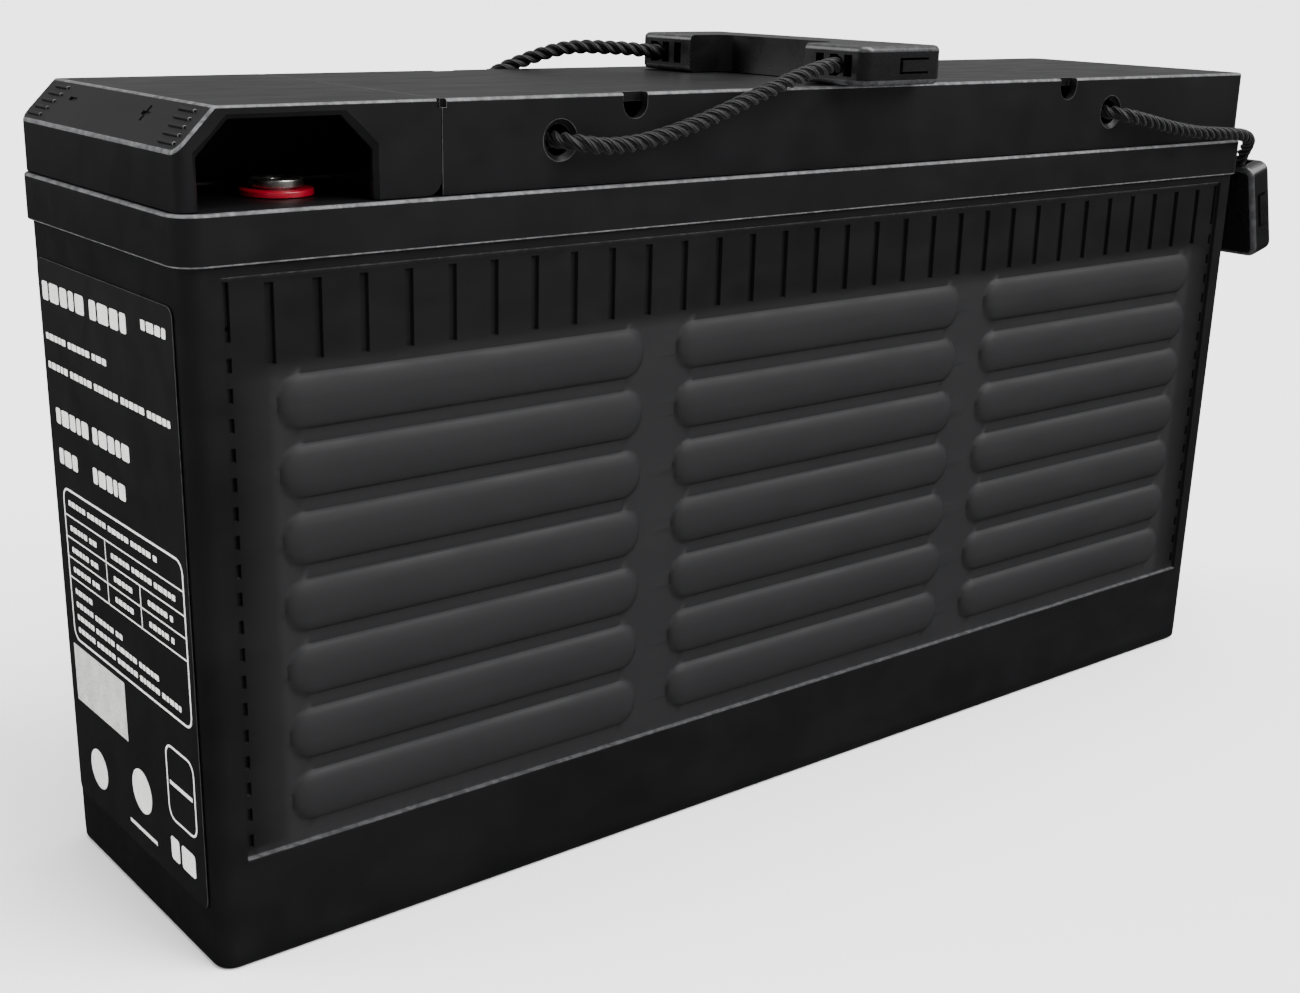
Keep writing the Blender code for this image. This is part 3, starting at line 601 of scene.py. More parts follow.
def round_edges(
    shape: BMesh, width: float, segments: int, wanted: Callable[[Vector, Vector], bool], rubbed_and_highlit: bool = False
) -> None:
    """Rounds the edges that a test picks out.

    Args:
        shape: The bmesh.
        width: The rounding's width.
        segments: How many facets it has.
        wanted: A test of an edge's two end points.
        rubbed_and_highlit: True where the rounding is painted pale, as edge wear and a painted highlight.
    """
    edges = [edge for edge in shape.edges if wanted(edge.verts[0].co, edge.verts[1].co)]
    bmesh.ops.bevel(
        shape, geom=edges, offset=width, segments=segments, profile=0.5, affect="EDGES", clamp_overlap=True,
        material=int(rubbed_and_highlit),
    )


def upright(first: Vector, second: Vector) -> bool:
    """True for an edge that runs up."""
    return abs(first.z - second.z) > 5 * math.hypot(first.x - second.x, first.y - second.y)


def loft(shape: BMesh, rings: Sequence[Sequence[Point]], endless: bool = False) -> None:
    """Adds a solid through rings that all have the same number of points.

    Args:
        shape: The bmesh it is added to.
        rings: The rings, in order.
        endless: True where the last ring joins the first, in place of two end faces.
    """
    rows = [[shape.verts.new(point) for point in ring] for ring in rings]
    for first, second in zip(rows, rows[1:] + rows[:1] if endless else rows[1:]):
        for k in range(len(first)):
            after = (k + 1) % len(first)
            shape.faces.new((first[after], first[k], second[k], second[after]))
    if not endless:
        shape.faces.new(rows[0])
        shape.faces.new(rows[-1][::-1])


def prism(outline: Sequence[Flat], low_y: float, high_y: float) -> BMesh:
    """A solid with one outline in X and Z all along Y."""
    shape = bmesh.new()
    loft(shape, [[(x, y, z) for x, z in outline] for y in (low_y, high_y)])
    return shape


def lathe(profile: Sequence[Flat], centre: Sequence[float], sides: int = 64) -> BMesh:
    """A closed turned shape about an upright axis.

    Args:
        profile: Points of (radius, height) in order; a radius of 0 closes an end, or else the profile loops.
        centre: The axis's place.
        sides: How many sides it has.

    Returns:
        The new shape.
    """
    shape = bmesh.new()
    rings = []
    for radius, height in profile:
        turns = [math.tau * step / sides for step in range(1 if radius == 0 else sides)]
        spots = [(centre[0] + radius * math.cos(a), centre[1] + radius * math.sin(a), height) for a in turns]
        rings.append([shape.verts.new(spot) for spot in spots])
    pairs = list(zip(rings, rings[1:]))
    if min(len(rings[0]), len(rings[-1])) > 1:
        pairs.append((rings[-1], rings[0]))
    for lower, upper in pairs:
        for step in range(sides):
            after = (step + 1) % sides
            corners = [lower[step % len(lower)], lower[after % len(lower)]]
            corners += [upper[after % len(upper)], upper[step % len(upper)]]
            shape.faces.new(list(dict.fromkeys(corners)))
    return shape


def arc(centre: Flat, radius: float, start: float, end: float, steps: int) -> Iterator[Flat]:
    """The points of an arc, from the start angle to the end angle in degrees."""
    for step in range(steps + 1):
        angle = math.radians(start + (end - start) * step / steps)
        yield centre[0] + radius * math.cos(angle), centre[1] + radius * math.sin(angle)


# ---- Camera, floor and light ----


@dataclass
class Studio:
    """The camera, the pale floor and the soft lights."""

    eye: Point = (-0.4032, -0.45905, 0.2758)
    azimuth: float = -38.99
    elevation: float = 17.05
    roll: float = 1.424
    lens: float = 48.1
    floor_size: float = 60.0
    sky_levels: Sequence[Flat] = ((-0.1, 0.05), (-0.01, 0.32), (0.06, 0.24), (0.35, 0.28), (0.7, 0.6))
    paper: StudioPaper = StudioPaper("studio_paper", (250, 250, 250))

    def camera(self) -> None:
        """Makes the camera and points it."""
        data = bpy.data.cameras.new("camera")
        data.sensor_width = 36
        data.lens = self.lens
        data.clip_start = 0.01
        data.clip_end = 200
        azimuth, elevation = math.radians(self.azimuth), math.radians(self.elevation)
        level = math.cos(elevation)
        back = Vector((math.sin(azimuth) * level, -math.cos(azimuth) * level, math.sin(elevation)))
        turn = back.to_track_quat("Z", "Y").to_matrix() @ Matrix.Rotation(math.radians(self.roll), 3, "Z")
        camera = add_object("camera", data)
        camera.matrix_world = Matrix.Translation(self.eye) @ turn.to_4x4()
        bpy.context.scene.camera = camera

    def soft_light(self, name: str, towards: Point, spread: float, strength: float) -> None:
        """Adds a broad, far light, like a large silk.

        Args:
            name: Its name.
            towards: The direction in which it lies.
            spread: How wide it looks, in degrees.
            strength: Its strength, in watts to the square metre.
        """
        data = bpy.data.lights.new(name, "SUN")
        data.angle = math.radians(spread)
        data.energy = strength
        add_object(name, data).rotation_euler = Vector(towards).to_track_quat("Z", "Y").to_euler()

    def sky(self) -> None:
        """Lights the surroundings: soft overhead, lower towards the horizon and dim below it."""
        world = bpy.data.worlds.new("studio_sky")
        world.use_nodes = True
        tree = world.node_tree
        kinds = ("TexCoord", "SeparateXYZ", "MapRange", "ValToRGB")
        direction, parts, shift, ramp = (tree.nodes.new("ShaderNode" + kind) for kind in kinds)
        shift.inputs["From Min"].default_value = -1
        tree.links.new(direction.outputs["Generated"], parts.inputs[0])
        tree.links.new(parts.outputs["Z"], shift.inputs["Value"])
        tree.links.new(shift.outputs["Result"], ramp.inputs["Fac"])
        tree.links.new(ramp.outputs["Color"], tree.nodes["Background"].inputs["Color"])
        stops = ramp.color_ramp.elements
        for height, _ in self.sky_levels[2:]:
            stops.new((height + 1) / 2)
        for stop, (height, level) in zip(stops, self.sky_levels):
            stop.position = (height + 1) / 2
            stop.color = (level, level, level, 1)
        bpy.context.scene.world = world

    def build(self) -> None:
        """Sets up the whole studio."""
        self.camera()
        shape = bmesh.new()
        bmesh.ops.create_grid(shape, x_segments=1, y_segments=1, size=self.floor_size / 2)
        floor = new_object("studio_floor", shape)
        floor.data.materials.append(self.paper.material())
        floor.visible_glossy = False
        self.sky()
        self.soft_light("key", (0.62, -0.9, 1.0), 50, 5.5)
        self.soft_light("rear_fill", (-0.9, 0.7, 0.55), 40, 2.0)
        self.soft_light("overhead", (0.1, -0.1, 1.0), 56, 5.2)


# ---- Carry handles ----


def smooth_line(route: Sequence[Point], samples: int = 24) -> list[Vector]:
    """A smooth curve through a route's points, read at so many places between each two."""
    points = [Vector(point) for point in route]
    ends = [2 * points[0] - points[1], *points, 2 * points[-1] - points[-2]]
    curve = []
    for before, start, end, after in zip(ends, ends[1:], ends[2:], ends[3:]):
        bend = 2 * before - 5 * start + 4 * end - after
        twist = 3 * start - before - 3 * end + after
        for step in range(samples):
            t = step / samples
            curve.append(0.5 * (2 * start + (end - before) * t + bend * t**2 + twist * t**3))
    curve.append(points[-1])
    return curve


def evenly(curve: Sequence[Vector], step: float) -> np.ndarray:
    """Points about a step apart along a curve, one row each, with both ends."""
    line = np.array(curve, float)
    along = np.concatenate([[0], np.cumsum(np.linalg.norm(np.diff(line, axis=0), axis=1))])
    at = np.linspace(0, along[-1], round(along[-1] / step) + 1)
    return np.stack([np.interp(at, along, line[:, axis]) for axis in range(3)], axis=1)


def line_length(points: np.ndarray) -> float:
    """The length of a line of points."""
    return float(np.linalg.norm(np.diff(points, axis=0), axis=1).sum())


@dataclass
class Rope:
    """A laid rope: three strands twisted round each other along a route."""

    name: str
    route: Sequence[Point]
    hole_y: float
    diameter: float = 5 * MM
    strands: int = 3
    strand_offset: float = 1.22 * MM
    strand_radius: float = 1.3 * MM
    lay: float = 12.3 * MM
    step: float = 0.9 * MM
    sides: int = 36
    knot_radius: float = 5.4 * MM
    finish: TwistedFibre = TwistedFibre("laid_rope", (14, 14, 15))

    def frames(self, points: np.ndarray) -> tuple[np.ndarray, np.ndarray]:
        """Two directions across the rope at each point, which turn as little as they can."""
        tangents = np.gradient(points, axis=0)
        tangents /= np.linalg.norm(tangents, axis=1)[:, None]
        first = np.zeros_like(points)
        start = np.cross(tangents[0], (0, 0, 1.0))
        first[0] = start / np.linalg.norm(start)
        for index in range(1, len(points)):
            carried = first[index - 1] - tangents[index] * (first[index - 1] @ tangents[index])
            first[index] = carried / np.linalg.norm(carried)
        return first, np.cross(tangents, first)

    def build(self) -> tuple[Object, np.ndarray]:
        """Sweeps the strands' outline along the route, turning with the lay.

        Returns:
            The rope and its centreline.
        """
        points = evenly(smooth_line(self.route), self.step)
        first, second = self.frames(points)
        angles = np.arange(self.sides) * math.tau / self.sides
        lobe = math.tau / self.strands
        off = np.abs((angles + lobe / 2) % lobe - lobe / 2)
        reach = np.sqrt(np.maximum(self.strand_radius**2 - (self.strand_offset * np.sin(off)) ** 2, 0))
        radius = self.strand_offset * np.cos(off) + reach
        along = np.arange(len(points)) * line_length(points) / (len(points) - 1)
        turned = angles[None, :] + along[:, None] * math.tau / self.lay
        ring = first[:, None] * np.cos(turned)[..., None] + second[:, None] * np.sin(turned)[..., None]
        mesh = tube_mesh(self.name, points[:, None] + ring * radius[None, :, None])
        mesh.validate()
        mesh.shade_smooth()
        middle = (angles + lobe / 2) // lobe * lobe
        coords = np.zeros((len(points), self.sides, 3))
        coords[..., 0] = radius * np.cos(angles) - self.strand_offset * np.cos(middle)
        coords[..., 1] = radius * np.sin(angles) - self.strand_offset * np.sin(middle)
        coords[..., 2] = along[:, None]
        store(mesh, "strand", coords.reshape(-1, 3))
        return add_object(self.name, mesh), points

    def knots(self, points: np.ndarray) -> Object:
        """The overhand knots behind the two walls, each a fat bundle of three loops."""
        shape = bmesh.new()
        major, minor = self.knot_radius * 0.5, self.knot_radius * 0.44
        tube = list(arc((major, 0), minor, 0, 330, 11))
        turns = [math.tau * step / 24 for step in range(24)]
        torus = [[Vector((r * math.cos(u), y, r * math.sin(u))) for r, y in tube] for u in turns]
        for end, into in ((points[0], 1), (points[-1], -1)):
            for loop in range(3):
                spin = Matrix.Rotation(math.tau * loop / 3, 4, "Y") @ Matrix.Rotation(0.6 * into, 4, "X")
                spot = Matrix.Translation(end) @ spin
                loft(shape, [[spot @ point for point in ring] for ring in torus], endless=True)
        return new_object(self.name + "_knots", shape)

    def dress(self, body: Body, node: str) -> np.ndarray:
        """Args:
            body: The handle's body.
            node: The plain rope that it replaces.

        Returns:
            The rope's centreline.
        """
        rope, points = self.build()
        dress(rope, self.finish, "rope_black", body, node)
        dress(self.knots(points), self.finish, "rope_black", body)
        return points


@dataclass
class Grip:
    """A moulded grip: a flat bar with a finger recess, a slot in each end and a channel for the rope."""

    name: str
    centre: Point
    turn: Matrix
    length: float = 106 * MM
    width: float = 38.4 * MM
    thickness: float = 12.4 * MM
    recess_length: float = 54 * MM
    recess_depth: float = 16 * MM
    slot: Point = (14 * MM, 5 * MM, 6 * MM)
    slot_offset: float = 4.5 * MM
    corner: float = 4 * MM
    channel: float = 3.1 * MM
    channel_sides: int = 14
    # worn is the pale edge colour: edge wear plus a painted highlight.
    finish: MouldedPlastic = MouldedPlastic(
        "grip_plastic", (10, 10, 11), roughness=(0.22, 0.36), grain_depth=0.005 * MM, worn=(84, 84, 86),
        wear_and_highlight=0.4, gloss=0.3, coat=0.08,
    )

    def bar(self) -> BMesh:
        """The bar with its rounded corners and edges."""
        half = Vector((self.width, self.length, self.thickness)) / 2
        shape = box(-half, half)
        round_edges(shape, self.corner, 5, upright)
        flat = half.z - HAIR
        # The top and bottom edges are rounded and painted pale: edge wear and a painted highlight along them.
        round_edges(shape, 1.8 * MM, 4, lambda a, b: min(a.z, b.z) > flat or max(a.z, b.z) < -flat, True)
        return shape

    def recess(self) -> BMesh:
        """Cutter: the finger recess on the rope's side, with round inner corners."""
        half = self.recess_length / 2
        shape = box(
            (-self.width, -half, -self.thickness), (-self.width / 2 + self.recess_depth, half, self.thickness)
        )
        round_edges(shape, 6 * MM, 6, lambda a, b: upright(a, b) and a.x > -self.width / 2)
        return shape

    def hollows(self) -> BMesh:
        """Cutter: the end slots and the vents in the rope's side."""
        shape = bmesh.new()
        across, tall, deep = self.slot
        end, offset = self.length / 2, self.slot_offset
        vent_half, vent_tall = 1.7 * MM, 3.4 * MM
        for side in (-1, 1):
            low, high = sorted((side * (end - deep), side * (end + 5 * MM)))
            add_box(shape, (offset - across / 2, low, -tall / 2), (offset + across / 2, high, tall / 2))
            for number in range(3):
                y = side * (self.recess_length / 2 + 6.5 * MM + number * 6 * MM)
                add_box(
                    shape, (-self.width, y - vent_half, -vent_tall),
                    (-self.width / 2 + 5 * MM, y + vent_half, vent_tall),
                )
        return shape

    def ribs(self) -> BMesh:
        """Adder: the low ridges across the back where the palm rests, and the peg in each end slot."""
        shape = bmesh.new()
        across, tall = (size / 2 - 0.7 * MM for size in self.slot[:2])
        end, offset = self.length / 2, self.slot_offset
        for side in (-1, 1):
            low, high = sorted((side * (end - self.slot[2] - 0.5 * MM), side * (end + 0.6 * MM)))
            add_box(shape, (offset - across, low, -tall), (offset + across, high, tall))
        x, z = self.width / 2 - 0.5 * MM, self.thickness / 2 - 3 * MM
        for number in range(-4, 5):
            add_rod(shape, (x, number * 7 * MM, -z), (x, number * 7 * MM, z), 1 * MM, 16)
        return shape

    def rope_channel(self, points: np.ndarray) -> BMesh:
        """Cutter: a tube round the rope where it passes through the bar."""
        line = points[::4]
        angles = [math.tau * k / self.channel_sides for k in range(self.channel_sides)]
        spokes = [Vector((math.cos(a), math.sin(a), 0)) for a in angles]
        rings: list[list[Vector]] = []
        for point, tangent in zip(line, np.gradient(line, axis=0)):
            turn = Vector(tangent).to_track_quat("Z", "Y").to_matrix()
            ring = [Vector(point) + turn @ spoke * self.channel for spoke in spokes]
            if rings:
                start = min(range(len(ring)), key=lambda k: (ring[k] - rings[-1][0]).length)
                ring = ring[start:] + ring[:start]
            rings.append(ring)
        shape = bmesh.new()
        loft(shape, rings)
        return shape

    def dress(self, body: Body, node: str, points: np.ndarray) -> None:
        """Builds and dresses the grip.

        Args:
            body: The handle's body.
            node: The plain grip that it replaces.
            points: The rope's centreline.
        """
        shapes = [self.bar(), self.recess(), self.hollows(), self.ribs()]
        for shape in shapes:
            shape.transform(Matrix.Translation(self.centre) @ self.turn)
        bar, recess, hollows, ribs = shapes
        blank = Blank(self.name, bar).cut(recess).cut(hollows).join(ribs).cut(self.rope_channel(points))
        dress(blank.settle(0.45 * MM, 2), self.finish, "grip_black", body, node)


@dataclass
class Handles:
    """The two carry handles: one lies on the cover and one hangs behind the rear end."""

    wall_y: float = 53 * MM
    front_route: Sequence[Point] = (
        (-0.1103, -0.041, 0.2274), (-0.1103, -0.0505, 0.2274), (-0.1072, -0.0574, 0.2269),
        (-0.097, -0.0592, 0.2258), (-0.082, -0.0588, 0.227), (-0.063, -0.0586, 0.2314),
        (-0.039, -0.0582, 0.2389), (-0.02, -0.0566, 0.2442), (-0.005, -0.0534, 0.2464),
        (0.008, -0.0505, 0.2464), (0.0184, -0.0445, 0.2464), (0.0223, -0.034, 0.2464),
        (0.0213, -0.012, 0.2464), (0.02, 0.01, 0.2464), (0.0162, 0.0206, 0.2464),
        (0.0055, 0.0275, 0.2464), (-0.008, 0.0315, 0.2464), (-0.022, 0.038, 0.2474),
        (-0.036, 0.0475, 0.247), (-0.052, 0.0553, 0.2415), (-0.07, 0.0586, 0.2336),
        (-0.086, 0.059, 0.228), (-0.098, 0.0592, 0.226), (-0.1072, 0.0574, 0.2269),
        (-0.1103, 0.0505, 0.2274), (-0.1103, 0.041, 0.2274),
    )
    rear_half: Sequence[Point] = (
        (0.1402, -0.041, 0.2273), (0.1402, -0.0505, 0.2273), (0.1432, -0.0574, 0.2266),
        (0.153, -0.0594, 0.2246), (0.1705, -0.0592, 0.2212), (0.1875, -0.0592, 0.2188),
        (0.2045, -0.0592, 0.2176), (0.2186, -0.0586, 0.2164), (0.2292, -0.055, 0.2134),
        (0.2364, -0.0486, 0.2074), (0.2399, -0.0436, 0.1994), (0.2419, -0.0414, 0.192),
        (0.2446, -0.0355, 0.1824), (0.2463, -0.024, 0.1782), (0.2464, -0.01, 0.1779),
    )
    front_centre: Point = (13.9 * MM, -11.2 * MM, 246.5 * MM)
    front_yaw: float = 3.4
    rear_centre: Point = (246.4 * MM, -1 * MM, 184.6 * MM)
    rear_lean: float = 15.0

    def build(self) -> None:
        """Builds both handles, ropes first; the rear rope's far half mirrors its near one."""
        rear_route = [*self.rear_half, *((x, -y, z) for x, y, z in reversed(self.rear_half))]
        flat = Matrix.Rotation(math.radians(self.front_yaw), 4, "Z")
        hanging = Matrix.Rotation(math.radians(90 - self.rear_lean), 4, "Y")
        front_rope = Rope("front_handle_rope", self.front_route, self.wall_y)
        rear_rope = Rope("rear_handle_rope", rear_route, self.wall_y)
        front_line = front_rope.dress(Body.FRONT_HANDLE, "front_rope")
        rear_line = rear_rope.dress(Body.REAR_HANDLE, "rear_rope")
        front = Grip("front_handle_grip", self.front_centre, flat)
        rear = Grip("rear_handle_grip", self.rear_centre, hanging, slot_offset=0)
        front.dress(Body.FRONT_HANDLE, "front_grip", front_line)
        rear.dress(Body.REAR_HANDLE, "rear_grip", rear_line)


# ---- Container and its print ----

CASE = MouldedPlastic("case_plastic", (13, 13, 14), gloss=0.15)
COVER = MouldedPlastic(
    "cover_plastic", (14, 14, 15), roughness=(0.28, 0.4), grain_depth=0.008 * MM, gloss=0.17
)


@dataclass
class Container:
    """The container: a drafted box whose long sides carry pillows, grooves and a scored panel edge."""

    base: Flat = (450 * MM, 105.4 * MM)
    mouth: Flat = (452 * MM, 107 * MM)
    height: float = 210.4 * MM
    corner: float = 6 * MM
    foot: float = 2 * MM
    wall: float = 3.0 * MM
    floor: float = 3.5 * MM
    panel_half: float = 215.5 * MM
    panel_z: Flat = (33.5 * MM, 197.5 * MM)
    panel_depth: float = 1.1 * MM
    field: Flat = (205 * MM, 174 * MM)
    score_inset: float = 1.6 * MM
    score_width: float = 1.2 * MM
    score_depth: float = 1.1 * MM
    score_pitch: float = 8.0 * MM
    score_dash: float = 3.8 * MM
    pillow_first: float = 47.2 * MM
    pillow_pitch: float = 19.2 * MM
    pillow_height: float = 15.4 * MM
    pillow_rows: int = 7
    pillow_spans: Sequence[Flat] = ((-201 * MM, -78 * MM), (-65 * MM, 65 * MM), (78 * MM, 201 * MM))
    pillow_rise: float = 2.5 * MM
    groove_count: int = 30
    groove_pitch: float = 13.93 * MM
    groove_half: float = 1.2 * MM
    groove_z: Flat = (173.5 * MM, 195 * MM)
    groove_depth: float = 1.2 * MM
    ramp: float = 0.3 * MM
    plain_rows: Sequence[float] = (6 * MM, 16 * MM, 26 * MM, 180 * MM, 188 * MM, 204 * MM)
    steps: Sequence[float] = (0, 0.15, 0.55, 1.2, 2.1, 3.2, 4.6, 6.0, 7.7)
    finish: MouldedPlastic = CASE

    def half_size(self, z: float) -> Flat:
        """Half the length and half the width at a height, with the draft."""
        share = z / self.height
        return tuple((low + (high - low) * share) / 2 for low, high in zip(self.base, self.mouth))

    def grooves(self) -> list[float]:
        """The middle of each upright groove."""
        return [(k - (self.groove_count - 1) / 2) * self.groove_pitch for k in range(self.groove_count)]

    def pillows(self) -> list[float]:
        """The middle height of each row of pillows."""
        return [self.pillow_first + row * self.pillow_pitch for row in range(self.pillow_rows)]

    def dashes(self) -> list[Flat]:
        """The lower and upper end of each dash of the score, with a long one at the top."""
        low, high = self.panel_z
        starts = np.arange(low + 3 * MM, high - 16 * MM, self.score_pitch)
        return [(z, z + self.score_dash) for z in starts] + [(high - 14 * MM, high - 1.5 * MM)]

    def columns(self) -> np.ndarray:
        """Where the mesh has a line across the long sides: dense where the relief changes."""
        middle, half = self.panel_half - self.score_inset, self.score_width / 2
        exact = []
        for side in (-1, 1):
            exact += [x + side * self.groove_half + off for x in self.grooves() for off in self.pair()]
            exact += [side * self.panel_half + off * MM for off in (-0.2, 0.2)]
            exact += [side * middle + turn * half + off for turn in (-1, 1) for off in self.pair()]
        loose = [x for span in self.pillow_spans for x in self.eased(*span)]
        return self.merged(exact, loose)

    def rows(self) -> np.ndarray:
        """The heights of the mesh's lines above the foot."""
        half = self.pillow_height / 2
        exact = [edge + off * MM for edge in self.panel_z for off in (-0.6, -0.15, 0.15, 0.6)]
        exact += [edge + off for edge in self.groove_z for off in self.pair()]
        loose = [*self.plain_rows, *(z for row in self.pillows() for z in self.eased(row - half, row + half))]
        loose += [edge + off for dash in self.dashes() for edge in dash for off in self.pair()]
        return self.merged(exact, loose)

    def pair(self) -> Flat:
        """The two sides of a ramp, which a mesh line on each keeps crisp."""
        return -self.ramp / 2, self.ramp / 2

    def eased(self, low: float, high: float) -> list[float]:
        """Lines across a rounded shape, closer together towards its two edges."""
        return [low + step * MM for step in self.steps] + [high - step * MM for step in self.steps]

    @staticmethod
    def merged(exact: Sequence[float], loose: Sequence[float]) -> np.ndarray:
        """Joins two lists of lines in order, without the loose ones that lie too near another."""
        kept = list(exact)
        for line in loose:
            if all(abs(line - other) > 0.2 * MM for other in kept):
                kept.append(line)
        return np.array(sorted(kept))

    def inside(self, distance: np.ndarray) -> np.ndarray:
        """0 outside an edge and 1 inside it, with a short ramp between."""
        return np.clip(distance / self.ramp + 0.5, 0, 1)

    def relief(self, x: np.ndarray, z: np.ndarray) -> tuple[np.ndarray, np.ndarray]:
        """How far the long side stands out from its plain drafted face.

        Args:
            x: Places along the battery.
            z: Heights, of the same shape.

        Returns:
            The relief, and 1 where the pillow field is and 0 elsewhere.
        """
        low, high = self.panel_z
        out = -self.panel_depth * self.inside(self.panel_half - np.abs(x)) * self.inside(z - low)
        out *= self.inside(high - z)
        field_x = np.clip((self.field[0] - np.abs(x)) / (3 * MM), 0, 1)
        field_z = np.clip((z - low) / (1 * MM), 0, 1) * np.clip((self.field[1] - z) / (5 * MM), 0, 1)
        half = self.pillow_height / 2
        for start, end in self.pillow_spans:
            over_x = np.maximum(np.abs(x - (start + end) / 2) - ((end - start) / 2 - half), 0)
            for row in self.pillows():
                share = np.clip(1 - np.hypot(over_x, z - row) / half, 0, 1)
                out += self.pillow_rise * np.sqrt(1 - (1 - share) ** 2)
        groove = np.zeros_like(x)
        for middle in self.grooves():
            groove = np.maximum(groove, self.inside(self.groove_half - np.abs(x - middle)))
        low, high = self.groove_z
        out -= self.groove_depth * groove * self.inside(z - low) * self.inside(high - z)
        score = self.inside(self.score_width / 2 - np.abs(np.abs(x) - self.panel_half + self.score_inset))
        for low, high in self.dashes():
            out -= self.score_depth * score * self.inside(z - low) * self.inside(high - z)
        return out, field_x * field_z

    def ring(self, z: float, inset: float, columns: np.ndarray) -> list[Point]:
        """One closed outline of the plain drafted box.

        Args:
            z: Its height.
            inset: How far it lies inside the outer face.
            columns: The lines across the long sides.

        Returns:
            Its points: the near side, the rear end, the far side and the front end, with arcs between.
        """
        half_x, half_y = (half - inset for half in self.half_size(z))
        radius = max(self.corner - inset, 1 * MM)
        limit, turn = half_x - radius, half_y - radius
        along = np.clip(columns, -limit, limit)
        ends = np.linspace(-1, 1, 9)[1:-1] * turn
        points = [
            *((x, -half_y) for x in along), *arc((limit, -turn), radius, 270, 360, 8),
            *((half_x, y) for y in ends), *arc((limit, turn), radius, 0, 90, 8),
            *((x, half_y) for x in along[::-1]), *arc((-limit, turn), radius, 90, 180, 8),
            *((-half_x, y) for y in ends[::-1]), *arc((-limit, -turn), radius, 180, 270, 8),
        ]
        return [(x, y, z) for x, y in points]

    def shell(self) -> Object:
        """The whole shell, outer face, rim and inner face, as one closed mesh that carries a painted
        highlight along the panel's ledges.
        """
        columns, heights = self.columns(), self.rows()
        quarter = [math.radians(90 * step / 5) for step in range(5)]
        foot = [(self.foot * (1 - math.cos(a)), self.foot * (1 - math.sin(a))) for a in quarter]
        lip = 0.4 * MM
        top = [(self.height - lip, 0), (self.height, lip), (self.height, self.wall), (self.floor, self.wall)]
        lines = [*foot, *((z, 0) for z in heights), *top]
        rings = np.array([self.ring(z, inset, columns) for z, inset in lines])
        out, field = self.relief(*np.meshgrid(columns, heights))
        levels, zones = np.zeros((2, *rings.shape[:2]))
        rows, count = slice(len(foot), len(foot) + len(heights)), len(columns)
        rear_end = 9 + 7 + 9
        for start, order, side in ((0, 1, -1), (count + rear_end, -1, 1)):
            part = slice(start, start + count)
            rings[rows, part, 1] += side * out[:, ::order]
            levels[rows, part], zones[rows, part] = out[:, ::order], field[:, ::order]
        # Painted highlight: a thin pale line along the panel's upper and lower ledges, where they face the
        # light.
        ledge_highlight = sum(np.exp(-(((rings[..., 2] - edge) / (0.4 * MM)) ** 2)) for edge in self.panel_z)
        mesh = tube_mesh("container_shell", rings)
        store(mesh, "zone", zones.ravel())
        store(mesh, "wear_and_highlight", (0.6 * ledge_highlight * (levels != 0)).ravel())
        shape = bmesh.new()
        shape.from_mesh(mesh)
        bmesh.ops.remove_doubles(shape, verts=shape.verts, dist=0.01 * MM)
        shape.to_mesh(mesh)
        shape.free()
        mesh.shade_smooth()
        mesh.set_sharp_from_angle(angle=math.radians(42))
        return add_object("container_shell", mesh)

    def partitions(self) -> Object:
        """The walls between the six cells, with a window for each link."""
        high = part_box("container")[1]
        inner = Vector((half - self.wall - 0.2 * MM for half in self.half_size(self.floor)))
        thick, low_z, high_z = 1.1 * MM, self.floor + 0.2 * MM, high.z - 0.5 * MM
        packs = [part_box(f"cell_{number}_separators") for number in (1, 2, 3)]
        blank = Blank("cell_walls", box((-inner.x, -thick, low_z), (inner.x, thick, high_z)))
        for first, second in zip(packs, packs[1:]):
            x = (first[1].x + second[0].x) / 2
            blank.join(box((x - thick, -inner.y, low_z), (x + thick, inner.y, high_z)))
        windows = bmesh.new()
        grow = Vector((0.4 * MM,) * 3)
        for number in range(1, 6):
            link_low, link_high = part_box(f"intercell_link_{number}")
            add_box(windows, link_low - grow, link_high + grow)
        return blank.cut(windows).settle(0.25 * MM, 1)

    def build(self) -> None:
        """Builds and dresses the container."""
        dress(self.shell(), self.finish, "case_black", Body.BATTERY, "container")
        dress(self.partitions(), self.finish, "case_black", Body.BATTERY)


